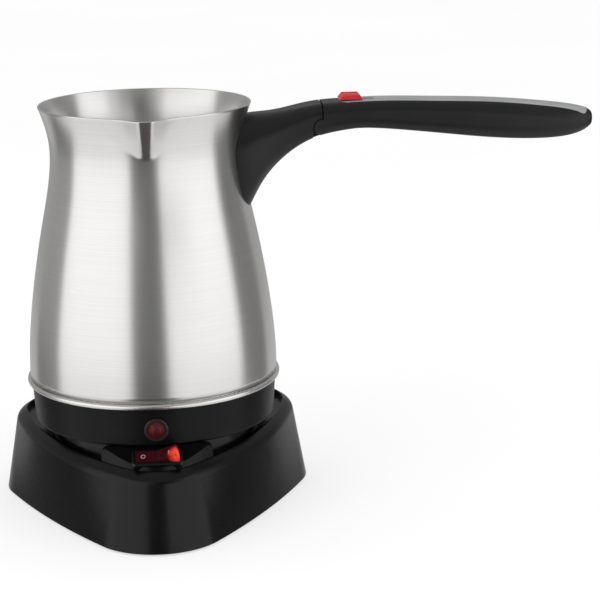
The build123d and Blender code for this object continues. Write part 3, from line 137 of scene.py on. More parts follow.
def blank_material(name: str) -> bpy.types.Material:
    """Start a material with an empty node tree.

    Args:
        name: the material's name.

    Returns:
        The material.
    """
    material = bpy.data.materials.new(name)
    material.use_nodes = True
    material.node_tree.nodes.clear()
    return material


def own_place(tree: Tree) -> Socket:
    """The piece's own coordinates, so that a pattern moves with its piece."""
    return add_node(tree, "ShaderNodeTexCoord").outputs["Object"]


def noise(tree: Tree, size_mm: float, detail: float, rough: float = 0.5) -> Socket:
    """Cloudy noise in the piece's own coordinates.

    Args:
        tree: the material's node tree.
        size_mm: size of its largest clouds.
        detail: how many finer layers it has.
        rough: how strong the finer layers are.

    Returns:
        The socket of its value, about 0 to 1.
    """
    clouds = add_node(
        tree, "ShaderNodeTexNoise",
        values={"Scale": 1 / (size_mm * MM), "Detail": detail, "Roughness": rough},
        links={"Vector": own_place(tree)},
    )
    return clouds.outputs["Fac"]


def two_tone(tree: Tree, value: Socket, levels: Span, codes: tuple[str, str]) -> Socket:
    """Colour that runs from one tone to another as a value rises.

    Args:
        tree: the material's node tree.
        value: the socket of the value.
        levels: the first tone is pure below the one, the second above the other.
        codes: the two tones as sRGB hex colours.

    Returns:
        The socket of the colour.
    """
    ramp = add_node(tree, "ShaderNodeValToRGB", links={"Fac": value})
    for element, position, code in zip(ramp.color_ramp.elements, levels, codes):
        element.position = position
        element.color = linear(code)
    return ramp.outputs["Color"]


def carried(tree: Tree, value: Socket, onto: Span, span: Span = (0.0, 1.0)) -> Socket:
    """Carry a value from one span of numbers onto another.

    Args:
        tree: the material's node tree.
        value: the socket of the value.
        onto: the span that the result covers.
        span: the span that the value covers; beyond it the result stays at its end.

    Returns:
        The socket of the result.
    """
    node = add_node(
        tree, "ShaderNodeMapRange",
        values={"From Min": span[0], "From Max": span[1], "To Min": onto[0], "To Max": onto[1]},
        links={"Value": value},
    )
    return node.outputs["Result"]


def relief(tree: Tree, height: Socket, share: float, depth_mm: float) -> Socket:
    """Turn a height pattern into a shading relief, for grain too fine to model.

    Args:
        tree: the material's node tree.
        height: the socket of the pattern.
        share: how much of the relief shows, up to 1.
        depth_mm: how high the pattern stands.

    Returns:
        The socket of the normal.
    """
    node = add_node(
        tree, "ShaderNodeBump", values={"Strength": share, "Distance": depth_mm * MM},
        links={"Height": height},
    )
    return node.outputs["Normal"]


def surfaced(
    material: bpy.types.Material, values: Mapping[str | int, Any], links: Mapping[str | int, Socket]
) -> bpy.types.Material:
    """Complete a material with the standard surface shader.

    Args:
        material: a material that holds the nodes of its patterns.
        values: constants for the shader's sockets.
        links: output sockets that feed the shader's sockets.

    Returns:
        The same material.
    """
    tree = material.node_tree
    shader = add_node(tree, "ShaderNodeBsdfPrincipled", values=values, links=links)
    add_node(tree, "ShaderNodeOutputMaterial", links={"Surface": shader.outputs["BSDF"]})
    return material


# ---- Finishes --------------------------------------------------------------------------------
@dataclass(frozen=True)
class BrushedSteel:
    """Stainless sheet spun and brushed around the jug's axis.

    The brush leaves hair-fine rings.  They spread a reflection up and down and keep it
    narrow sideways, so lamps show as tall soft bands.
    """

    name: str = "brushed_stainless_steel"
    light: str = "e2e1df"
    dark: str = "dad9d7"
    levels: Span = (0.3, 0.7)  # of the ring noise, where the two tones are pure
    ring_mm: float = 0.35  # the real rings are finer; drawn this coarse to show at all
    streak_mm: float = 42.0
    ring_detail: float = 3.0
    ring_rough: float = 0.6
    roughness: Span = (0.27, 0.31)
    stretch: float = 0.72
    brush_turn: float = 0.25  # a quarter turn, so that light spreads across the rings
    relief_share: float = 0.06
    relief_mm: float = 0.02

    def build(self) -> bpy.types.Material:
        """Build the material: ring noise drives colour, gloss and a faint relief.

        Returns:
            The material.
        """
        material = blank_material(self.name)
        tree = material.node_tree
        # squeezed noise: long streaks round the jug, each a hair high
        long, fine = 1 / (self.streak_mm * MM), 1 / (self.ring_mm * MM)
        squeezed = add_node(
            tree, "ShaderNodeMapping", values={"Scale": (long, long, fine)},
            links={"Vector": own_place(tree)},
        )
        streaks = add_node(
            tree, "ShaderNodeTexNoise",
            values={"Scale": 1.0, "Detail": self.ring_detail, "Roughness": self.ring_rough},
            links={"Vector": squeezed.outputs["Vector"]},
        )
        rings = streaks.outputs["Fac"]
        # the tangent runs round the axis as the brush did, which draws lamps into tall bands
        around = add_node(tree, "ShaderNodeTangent", {"direction_type": "RADIAL", "axis": "Z"})
        return surfaced(
            material,
            {"Metallic": 1.0, "Anisotropic": self.stretch, "Anisotropic Rotation": self.brush_turn},
            {
                "Base Color": two_tone(tree, rings, self.levels, (self.dark, self.light)),
                "Roughness": carried(tree, rings, self.roughness),
                "Normal": relief(tree, rings, self.relief_share, self.relief_mm),
                "Tangent": around.outputs["Tangent"],
            },
        )


@dataclass(frozen=True)
class Metal:
    """A bare or plated metal with small cloudy differences in its polish.

    The clouds break up the reflection as handling, plating or casting does.
    """

    name: str
    light: str
    dark: str
    roughness: Span
    levels: Span = (0.35, 0.65)  # of the cloud noise, where the two tones are pure
    cloud_mm: float = 3.0
    cloud_detail: float = 4.0
    cloud_rough: float = 0.55
    polish: Span = (0.3, 0.7)  # cloud noise that gives the first and last roughness
    grit_mm: float = 0.4
    grit_detail: float = 2.0
    relief_share: float = 0.4
    relief_mm: float = 0.0

    def build(self) -> bpy.types.Material:
        """Build the material: cloud noise for colour and polish, grit noise for relief.

        Returns:
            The material.
        """
        material = blank_material(self.name)
        tree = material.node_tree
        clouds = noise(tree, self.cloud_mm, self.cloud_detail, self.cloud_rough)
        grit = noise(tree, self.grit_mm, self.grit_detail)
        return surfaced(
            material,
            {"Metallic": 1.0},
            {
                "Base Color": two_tone(tree, clouds, self.levels, (self.dark, self.light)),
                "Roughness": carried(tree, clouds, self.roughness, self.polish),
                "Normal": relief(tree, grit, self.relief_share, self.relief_mm),
            },
        )


@dataclass(frozen=True)
class MouldedPlastic:
    """Injection-moulded plastic from a spark-eroded or polished mould.

    The eroded mould leaves an even fine grain, which dulls the reflection; flow in the
    mould leaves very faint clouds in the colour.
    """

    name: str
    colour: str
    paler: str
    roughness: Span
    levels: Span = (0.35, 0.7)  # of the cloud noise, where the two tones are pure
    cloud_mm: float = 14.0
    cloud_detail: float = 3.0
    gloss: Span = (0.35, 0.65)  # grain noise that gives the first and last roughness
    grain_mm: float = 0.3  # coarser than the real 0.05 mm grain, so that it shows
    grain_detail: float = 2.0
    grain_rough: float = 0.6
    grain_height_mm: float = 0.012
    relief_share: float = 0.35
    ior: float = 1.49
    specular: float = 0.5

    def build(self) -> bpy.types.Material:
        """Build the material: grain for relief and gloss, wide clouds for colour.

        Returns:
            The material.
        """
        material = blank_material(self.name)
        tree = material.node_tree
        clouds = noise(tree, self.cloud_mm, self.cloud_detail)
        grain = noise(tree, self.grain_mm, self.grain_detail, self.grain_rough)
        return surfaced(
            material,
            {"IOR": self.ior, "Specular IOR Level": self.specular},
            {
                "Base Color": two_tone(tree, clouds, self.levels, (self.colour, self.paler)),
                "Roughness": carried(tree, grain, self.roughness, self.gloss),
                "Normal": relief(tree, grain, self.relief_share, self.grain_height_mm),
            },
        )


@dataclass(frozen=True)
class LitRocker:
    """Clear red polycarbonate over a neon lamp at the rocker's right end.

    The lamp makes the raised end glow orange-red; the light dies away through the tinted
    plastic, which leaves the other end a dark wine red.
    """

    name: str = "lit_red_polycarbonate"
    dark: str = "30060d"
    red: str = "8c0f18"
    levels: Span = (0.0, 0.55)  # of the lamp's nearness, where the two reds are pure
    glow: str = "ff5236"
    lamp_mm: tuple[float, float, float] = (7.4, -57.6, 37.4)
    core_mm: float = 0.6  # full glow this close to the lamp
    reach_mm: float = 4.2  # and none beyond this
    strength: float = 0.85
    speckle_mm: float = 1.1
    speckle_detail: float = 2.0
    speckle_mean: float = 0.5
    roughness: float = 0.16
    ior: float = 1.58

    def build(self) -> bpy.types.Material:
        """Build the material: distance from the lamp gives the colour and the glow.

        Returns:
            The material.
        """
        material = blank_material(self.name)
        tree = material.node_tree
        away = add_node(
            tree, "ShaderNodeVectorMath", {"operation": "DISTANCE"},
            values={1: tuple(v * MM for v in self.lamp_mm)}, links={0: own_place(tree)},
        )
        # a smooth fall from the lamp, so the glow has no edge
        near = add_node(
            tree, "ShaderNodeMapRange", {"interpolation_type": "SMOOTHSTEP"},
            values={"From Min": self.reach_mm * MM, "From Max": self.core_mm * MM},
            links={"Value": away.outputs["Value"]},
        ).outputs["Result"]
        # speckle breaks the glow up, as the ribbed underside of the plastic does
        broken = add_node(
            tree, "ShaderNodeMath", {"operation": "MULTIPLY"},
            links={0: near, 1: noise(tree, self.speckle_mm, self.speckle_detail)},
        )
        glow = add_node(
            tree, "ShaderNodeMath", {"operation": "MULTIPLY"},
            values={1: self.strength / self.speckle_mean}, links={0: broken.outputs["Value"]},
        )
        return surfaced(
            material,
            {"Roughness": self.roughness, "IOR": self.ior, "Emission Color": linear(self.glow)},
            {
                "Base Color": two_tone(tree, near, self.levels, (self.dark, self.red)),
                "Emission Strength": glow.outputs["Value"],
            },
        )


@dataclass(frozen=True)
class TintedLens:
    """Red acrylic cap with moulded prisms behind it, its lamp unlit.

    The prisms break the face into fine facets, so the red looks deep and a little uneven.
    """

    name: str = "tinted_red_acrylic"
    face: str = "641510"
    deep: str = "2a0604"
    levels: Span = (0.1, 0.75)  # of the way from a prism's tip, where the two are pure
    prism_mm: float = 0.8
    unevenness: float = 0.35
    relief_share: float = 0.25
    relief_mm: float = 0.05
    roughness: float = 0.45
    ior: float = 1.49
    specular: float = 0.14
    coat: float = 0.03
    coat_roughness: float = 0.2

    def build(self) -> bpy.types.Material:
        """Build the material: cells of the prisms for colour and relief under a thin coat.

        Returns:
            The material.
        """
        material = blank_material(self.name)
        tree = material.node_tree
        prisms = add_node(
            tree, "ShaderNodeTexVoronoi", {"feature": "F1"},
            values={"Scale": 1 / (self.prism_mm * MM), "Randomness": self.unevenness},
            links={"Vector": own_place(tree)},
        ).outputs["Distance"]
        return surfaced(
            material,
            {
                "Roughness": self.roughness,
                "IOR": self.ior,
                "Specular IOR Level": self.specular,
                "Coat Weight": self.coat,
                "Coat Roughness": self.coat_roughness,
            },
            {
                "Base Color": two_tone(tree, prisms, self.levels, (self.face, self.deep)),
                "Normal": relief(tree, prisms, self.relief_share, self.relief_mm),
            },
        )


@dataclass(frozen=True)
class LampGlass:
    """Blown glass tube of a neon lamp: a clear wall, dulled by a patchy grey film inside."""

    name: str = "neon_tube_glass"
    tint: str = "efe2da"
    film_mm: float = 2.0
    film_detail: float = 2.0
    roughness: Span = (0.02, 0.18)
    clearness: float = 0.9
    ior: float = 1.5

    def build(self) -> bpy.types.Material:
        """Build the material: clear glass whose gloss follows the film's patches.

        Returns:
            The material.
        """
        material = blank_material(self.name)
        tree = material.node_tree
        film = noise(tree, self.film_mm, self.film_detail)
        return surfaced(
            material,
            {"Base Color": linear(self.tint), "Transmission Weight": self.clearness, "IOR": self.ior},
            {"Roughness": carried(tree, film, self.roughness)},
        )


class Finish(Enum):
    """The finishes of the real pieces, each built once."""

    STEEL = BrushedSteel()
    POLISHED = Metal("satin_stainless_steel", "e2e1df", "d6d5d3", (0.24, 0.3), cloud_mm=9.0)
    BLACK = MouldedPlastic("black_polypropylene", "060607", "09090a", (0.2, 0.28), specular=0.24)
    GRIP_BLACK = MouldedPlastic(
        "black_nylon_grip", "0b0b0c", "0f0f10", (0.34, 0.44), grain_mm=0.4, specular=0.35
    )
    COLLAR = MouldedPlastic("black_phenolic", "08080a", "0b0b0d", (0.3, 0.4), specular=0.17)
    CONNECTOR = MouldedPlastic("black_polyamide", "121212", "181818", (0.4, 0.5))
    SWITCH = MouldedPlastic(
        "black_gloss_nylon", "0a0a0b", "0e0e0f", (0.2, 0.28), grain_height_mm=0.004, specular=0.4
    )
    COVER = MouldedPlastic("grey_satin_abs", "8e8f90", "979899", (0.38, 0.48), grain_mm=0.35)
    SLIDE = MouldedPlastic(
        "red_gloss_abs", "b9141a", "c4191e", (0.3, 0.38), grain_height_mm=0.004, specular=0.3
    )
    LAMP_RING = MouldedPlastic(
        "dark_red_gloss_abs", "1c0e0d", "241312", (0.26, 0.34), grain_height_mm=0.004, specular=0.4
    )
    NYLON = MouldedPlastic("natural_nylon", "d9d5c6", "e2dfd2", (0.4, 0.5), ior=1.53)
    BOLT = MouldedPlastic("white_acetal", "dedcd5", "e8e6e0", (0.28, 0.36), ior=1.48)
    RUBBER = MouldedPlastic("black_rubber", "161616", "1f1f1f", (0.7, 0.85), grain_height_mm=0.03)
    INSULATION = MouldedPlastic("silicone_sleeve", "7c3b26", "8a452e", (0.45, 0.6))
    PRINT = MouldedPlastic("pale_pad_print", "a89c9c", "b8acac", (0.45, 0.6), grain_height_mm=0.003)
    ROCKER = LitRocker()
    LENS = TintedLens()
    LAMP_GLASS = LampGlass()
    ZINC = Metal("zinc_plated_steel", "c9cac6", "a9aba8", (0.28, 0.42), cloud_mm=1.6)
    BRASS = Metal("nickelled_brass", "d2b778", "b99a5c", (0.22, 0.36), cloud_mm=1.8)
    SPRING = Metal("bright_spring_steel", "bcbdbf", "9fa0a3", (0.2, 0.3), cloud_mm=1.5)
    CAST = Metal("cast_aluminium", "b9babb", "9a9b9d", (0.42, 0.6), cloud_mm=4.0, relief_mm=0.05)
    SHEATH = Metal(
        "oxidised_steel_sheath", "6d675f", "4c4842", (0.4, 0.55), cloud_mm=5.0, relief_mm=0.02
    )

    def material(self) -> bpy.types.Material:
        """The built material, made on first use."""
        return bpy.data.materials.get(self.value.name) or self.value.build()


# ---- Meshes ------------------------------------------------------------------------------------
def grid_faces(rows: int, columns: int, close_rows: bool, close_columns: bool) -> np.ndarray:
    """Quads of a grid of points, as rows of four vertex numbers.

    The point in row i and column j has number i * columns + j.  A closed direction joins
    its last line of points to its first.

    Args:
        rows: how many rows of points.
        columns: how many points in a row.
        close_rows: join the last row to the first.
        close_columns: join the last column to the first.

    Returns:
        An array of shape (faces, 4).
    """
    i = np.arange(rows if close_rows else rows - 1)[:, None]
    j = np.arange(columns if close_columns else columns - 1)[None, :]
    i_next, j_next = (i + 1) % rows, (j + 1) % columns
    corners = (i * columns + j, i * columns + j_next, i_next * columns + j_next, i_next * columns + j)
    return np.stack([np.broadcast_to(c, (i.size, j.size)) for c in corners], axis=-1).reshape(-1, 4)


def mesh_piece(
    name: str, points_mm: np.ndarray, faces: np.ndarray, smooth: bool = True
) -> bpy.types.Object:
    """Make a mesh object at the origin from points in millimetres and quads.

    Args:
        name: the piece's name.
        points_mm: an array whose last axis holds x, y and z.
        faces: an array of shape (faces, 4).
        smooth: shade smoothly.

    Returns:
        The new object, linked to the scene.
    """
    points = points_mm.reshape(-1, 3) * MM
    mesh = bpy.data.meshes.new(name)
    mesh.vertices.add(len(points))
    mesh.vertices.foreach_set("co", points.astype(np.float32).ravel())
    mesh.loops.add(faces.size)
    mesh.loops.foreach_set("vertex_index", faces.astype(np.int32).ravel())
    mesh.polygons.add(len(faces))
    mesh.polygons.foreach_set("loop_start", np.arange(0, faces.size, 4, dtype=np.int32))
    mesh.polygons.foreach_set("use_smooth", np.full(len(faces), smooth))
    mesh.update(calc_edges=True)
    mesh.validate()
    piece = bpy.data.objects.new(name, mesh)
    bpy.context.scene.collection.objects.link(piece)
    return piece


def weld(piece: bpy.types.Object) -> None:
    """Merge the points that coincide, which closes poles, and turn all faces outwards.

    Args:
        piece: a mesh object, changed in place.
    """
    mesh = bmesh.new()
    mesh.from_mesh(piece.data)
    bmesh.ops.remove_doubles(mesh, verts=mesh.verts, dist=WELD_MM * MM)
    bmesh.ops.recalc_face_normals(mesh, faces=mesh.faces)
    mesh.to_mesh(piece.data)
    mesh.free()


def clad(piece: bpy.types.Object, finish: Finish) -> None:
    """Give a new piece its finish."""
    piece.data.materials.append(finish.material())


def dress(frame: dict[str, Any], nodes: Mapping[str, Finish]) -> None:
    """Put finishes on carried-over nodes through their objects' material slots.

    Args:
        nodes: the finish of each node, by the node's name.
    """
    for name, finish in nodes.items():
        for slot in frame["nodes"][name].material_slots:
            slot.link = "OBJECT"
            slot.material = finish.material()
        LOG.info("%s: %s", name, finish.value.name)


def smooth_max(a: np.ndarray, b: np.ndarray, blend: np.ndarray | float) -> np.ndarray:
    """Greater of two surfaces, rounded where they cross.

    Within `blend` of each other the two are mixed by their share h of the difference, plus
    blend * h * (1 - h), which makes the crossing a fillet.

    Args:
        a: one surface.
        b: the other, on the same grid.
        blend: difference within which the two are mixed.

    Returns:
        The joined surface.
    """
    share = np.clip(0.5 + 0.5 * (a - b) / blend, 0, 1)
    return b * (1 - share) + a * share + blend * share * (1 - share)


def smooth_step(value: np.ndarray, start: np.ndarray, end: np.ndarray) -> np.ndarray:
    """Rise from 0 at start to 1 at end by the cubic 3t^2 - 2t^3."""
    t = np.clip((value - start) / (end - start), 0, 1)
    return t * t * (3 - 2 * t)


# ---- The jug -----------------------------------------------------------------------------------
@dataclass
class Jug:
    """Spun steel jug with a pressed beak, over a black housing with a lamp.

    The knots and the rim are heights and radii of the spun wall.  The beak is given at the
    heights of beak_z: how far its keel reaches from the axis, the half width of its V, how
    far the foot of the V's flanks is from the axis, and the half width of the flat strip
    down its keel.
    """

    wall: float = 0.8
    foot_z: float = 56.3
    knots: tuple[Span, ...] = ((58.5, 50.9), (84.0, 49.1), (120.0, 42.9), (148.0, 38.75))
    rim: Span = (167.0, 43.0)
    rim_slope: float = 0.42  # how far the flare leans out at the rim, per height
    lip_r: float = 0.4
    beak_z: tuple[float, ...] = (141.0, 147.0, 153.0, 167.0)
    beak_keel: tuple[float, ...] = (34.65, 37.85, 41.05, 54.2)
    beak_half_w: tuple[float, ...] = (6.5, 6.5, 6.5, 13.5)
    beak_foot: tuple[float, ...] = (31.8, 35.0, 38.2, 40.83)
    beak_strip: tuple[float, ...] = (1.9, 1.9, 2.0, 2.8)
    strip_blend: float = 0.5  # rounding of the strip's two edges
    seam_blend: Span = (0.35, 4.2)  # rounding where the beak meets the wall, low and at the rim
    ray_limit: float = 0.5  # keeps the rays that miss the V finite
    fade: Span = (1.3, 2.3)  # where the beak sinks into the wall, in its half widths
    sunk: float = 0.5  # share of the wall's radius to which it sinks
    fine_z: float = 138.0  # rows are close together above this
    fine_turn_deg: float = 42.0  # and columns within this of the front
    columns_fine: int = 150
    columns_rest: int = 110
    rows_low: int = 40
    rows_high: int = 62
    rows_lip: int = 5
    nudge: float = 0.002  # small turn, in radians, over which the wall's slant is measured
    nodes: dict[str, Finish] = field(
        default_factory=lambda: {
            "bottom_pan": Finish.POLISHED,
            "heater_plate": Finish.CAST,
            "heating_element": Finish.SHEATH,
            "thermostat": Finish.NYLON,
            "lower_housing": Finish.COLLAR,
            "housing_screws": Finish.ZINC,
            "lamp_bezel": Finish.LAMP_RING,
            "lamp_lens": Finish.LENS,
            "neon_lamp": Finish.LAMP_GLASS,
            "jug_connector": Finish.CONNECTOR,
            "connector_contacts": Finish.BRASS,
            "jug_leads": Finish.INSULATION,
            "handle_clip": Finish.STEEL,
        }
    )

    def radius(self, z: np.ndarray) -> np.ndarray:
        """Radius of the spun wall's outside.

        Below the neck it is the cubic spline through the knots that is upright at both
        ends; above, the cubic from upright at the neck to the flare at the rim.

        Args:
            z: heights.

        Returns:
            The radius at each height.
        """
        heights, radii = np.array(self.knots).T
        gap = np.diff(heights)
        rise = np.diff(radii) / gap
        bend = np.diag(np.r_[2 * gap[0], 2 * (gap[:-1] + gap[1:]), 2 * gap[-1]])
        bend += np.diag(gap, 1) + np.diag(gap, -1)
        second = np.linalg.solve(bend, 6 * np.diff(np.r_[0.0, rise, 0.0]))
        span = np.clip(np.searchsorted(heights, z) - 1, 0, len(gap) - 1)
        low, high = z - heights[span], heights[span + 1] - z
        width = gap[span]
        body = (second[span] * high**3 + second[span + 1] * low**3) / (6 * width)
        body += (radii[span] / width - second[span] * width / 6) * high
        body += (radii[span + 1] / width - second[span + 1] * width / 6) * low
        tall = self.rim[0] - heights[-1]
        t = np.clip((z - heights[-1]) / tall, 0, 1)
        flare = radii[-1] + (3 * t**2 - 2 * t**3) * (self.rim[1] - radii[-1])
        flare += (t**3 - t**2) * self.rim_slope * tall
        return np.where(z < heights[0], radii[0], np.where(z < heights[-1], body, flare))

    def beak(self, z: np.ndarray, turn: np.ndarray) -> np.ndarray:
        """Distance of the beak's surface from the axis.

        Seen from above, the beak is a V with its point cut off by a narrow strip that runs
        round the axis.  Its flank meets a ray at keel / (cos turn + sin turn / flank), where
        flank is the V's half width over its depth.  The strip's reach is the keel's, less its
        own half width over flank.  Past its sides the beak sinks into the wall, out of sight.

        Args:
            z: a column of heights.
            turn: a row of angles off the front.

        Returns:
            The distance at each height and angle.
        """
        keel, half_w, foot, strip = (
            np.interp(z, self.beak_z, values)
            for values in (self.beak_keel, self.beak_half_w, self.beak_foot, self.beak_strip)
        )
        flank = half_w / (keel - foot)
        side = np.abs(np.sin(turn))
        straight = keel / np.maximum(np.cos(turn) + side / flank, self.ray_limit)
        reach = -smooth_max(-straight, strip / flank - keel, self.strip_blend)
        wall = self.radius(z)
        edge = np.arcsin(np.clip(half_w / wall, 0, 1))
        away = smooth_step(np.abs(turn), self.fade[0] * edge, self.fade[1] * edge)
        return reach * (1 - away) + self.sunk * wall * away

    def outside(self, z: np.ndarray, turn: np.ndarray) -> np.ndarray:
        """Outer surface: the greater of wall and beak, crisp at the beak's foot, soft at the rim.

        Args:
            z: a column of heights.
            turn: a row of angles off the front.

        Returns:
            The distance from the axis at each height and angle.
        """
        blend = np.interp(z, self.beak_z[2:], self.seam_blend)
        return smooth_max(self.beak(z, turn), self.radius(z), blend)

    def turns(self) -> np.ndarray:
        """Angles of the columns off the front, close together across the beak.

        Returns:
            The angles in radians, once round the jug.
        """
        reach = math.radians(self.fine_turn_deg)
        close = np.linspace(-reach, reach, self.columns_fine, endpoint=False)
        return np.r_[close, np.linspace(reach, 2 * math.pi - reach, self.columns_rest, endpoint=False)]

    def wall_piece(self) -> bpy.types.Object:
        """The jug's wall as one closed sheet: outside up, round lip, inside down, foot.

        The inside lies under the outside by the wall's thickness, measured square to the
        surface: thickness * sqrt(1 + (dR/da / R)^2) along the ray.

        Returns:
            The wall.
        """
        turn = self.turns()[None, :]
        low = np.linspace(self.foot_z, self.fine_z, self.rows_low, endpoint=False)
        high = np.linspace(self.fine_z, self.rim[0] - self.lip_r, self.rows_high)
        z_out = np.r_[low, high][:, None]
        outer = self.outside(z_out, turn)
        ahead, behind = self.outside(z_out, turn + self.nudge), self.outside(z_out, turn - self.nudge)
        slant = (ahead - behind) / (2 * self.nudge) / outer
        inner = outer - self.wall * np.sqrt(1 + slant**2)
        lip = np.linspace(0, math.pi, self.rows_lip + 2)[1:-1][:, None]
        middle, half = (outer[-1] + inner[-1]) / 2, (outer[-1] - inner[-1]) / 2
        reach = np.vstack([outer, middle + half * np.cos(lip), inner[::-1]])
        height = np.vstack([z_out, z_out[-1] + self.lip_r * np.sin(lip), z_out[::-1]])
        points = np.stack([reach * np.sin(turn), -reach * np.cos(turn), height + 0 * turn], axis=-1)
        return mesh_piece("jug_wall", points, grid_faces(*reach.shape, True, True))

    def build(self, frame: dict[str, Any]) -> None:
        """Dress the housing and heater, and set the spun wall in place of its solid.
        """
        dress(frame, self.nodes)
        wall = self.wall_piece()
        clad(wall, Finish.STEEL)
        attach(wall, "jug")
        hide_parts("jug_shell")
        LOG.info("jug wall: %d points", len(wall.data.vertices))


# ---- The handle --------------------------------------------------------------------------------
@dataclass
class Handle:
    """Bracket screwed to the neck and a grip that folds down on its hinge pin."""

    wire_r: float = 0.35
    coils: int = 6
    steps_coil: int = 20
    steps_wire: int = 10
    latch_travel: float = 4.5  # the slide's whole way, by which the spring shortens
    nodes: dict[str, Finish] = field(
        default_factory=lambda: {
            "handle_bracket": Finish.GRIP_BLACK,
            "bracket_screw": Finish.ZINC,
            "hinge_pin": Finish.SPRING,
            "grip_shell": Finish.GRIP_BLACK,
            "grip_cover": Finish.COVER,
            "grip_screws": Finish.ZINC,
            "release_slide": Finish.SLIDE,
            "latch_bolt": Finish.BOLT,
        }
    )

    def spring_piece(self) -> bpy.types.Object:
        """The latch's coil spring, in the box of its solid, closed at its ends.

        The wire's middle runs round the bolt's axis at (pitch * t, r sin t, r cos t).  A circle
        of the wire's radius stands square to it, on the outward direction and the one across
        both; at each end it shrinks to a point.

        Returns:
            The spring at its full length.
        """
        low, high = (np.array(corner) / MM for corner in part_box("latch_spring"))
        coil_r = (high[2] - low[2]) / 2 - self.wire_r
        length = high[0] - low[0]
        run = np.linspace(0, 2 * math.pi * self.coils, self.steps_coil * self.coils)
        turn = np.r_[run[0], run, run[-1]][:, None, None]
        thick = np.r_[0.0, np.full(run.size, self.wire_r), 0.0][:, None, None]
        around = np.linspace(0, 2 * math.pi, self.steps_wire, endpoint=False)[None, :, None]
        pitch = (length - 2 * self.wire_r) / run[-1]
        sine, cosine = np.sin(turn), np.cos(turn)
        outward = np.concatenate([0 * turn, sine, cosine], axis=-1)
        along = np.concatenate([pitch + 0 * turn, coil_r * cosine, -coil_r * sine], axis=-1)
        along /= math.hypot(pitch, coil_r)
        across = np.cross(along, outward)
        start = np.array([low[0] + self.wire_r, (low[1] + high[1]) / 2, (low[2] + high[2]) / 2])
        middle = start + coil_r * outward + turn * np.array([pitch, 0, 0])
        points = middle + thick * (outward * np.cos(around) + across * np.sin(around))
        spring = mesh_piece("coil_spring", points, grid_faces(turn.size, around.size, False, True))
        weld(spring)
        clad(spring, Finish.SPRING)
        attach(spring, "grip")
        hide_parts("latch_spring")
        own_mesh(spring)
        return spring

    def build(self, frame: dict[str, Any]) -> None:
        """Dress the handle's pieces and coil its spring.
        """
        dress(frame, self.nodes)
        spring = self.spring_piece()
        LOG.info("spring: %d points", len(spring.data.vertices))


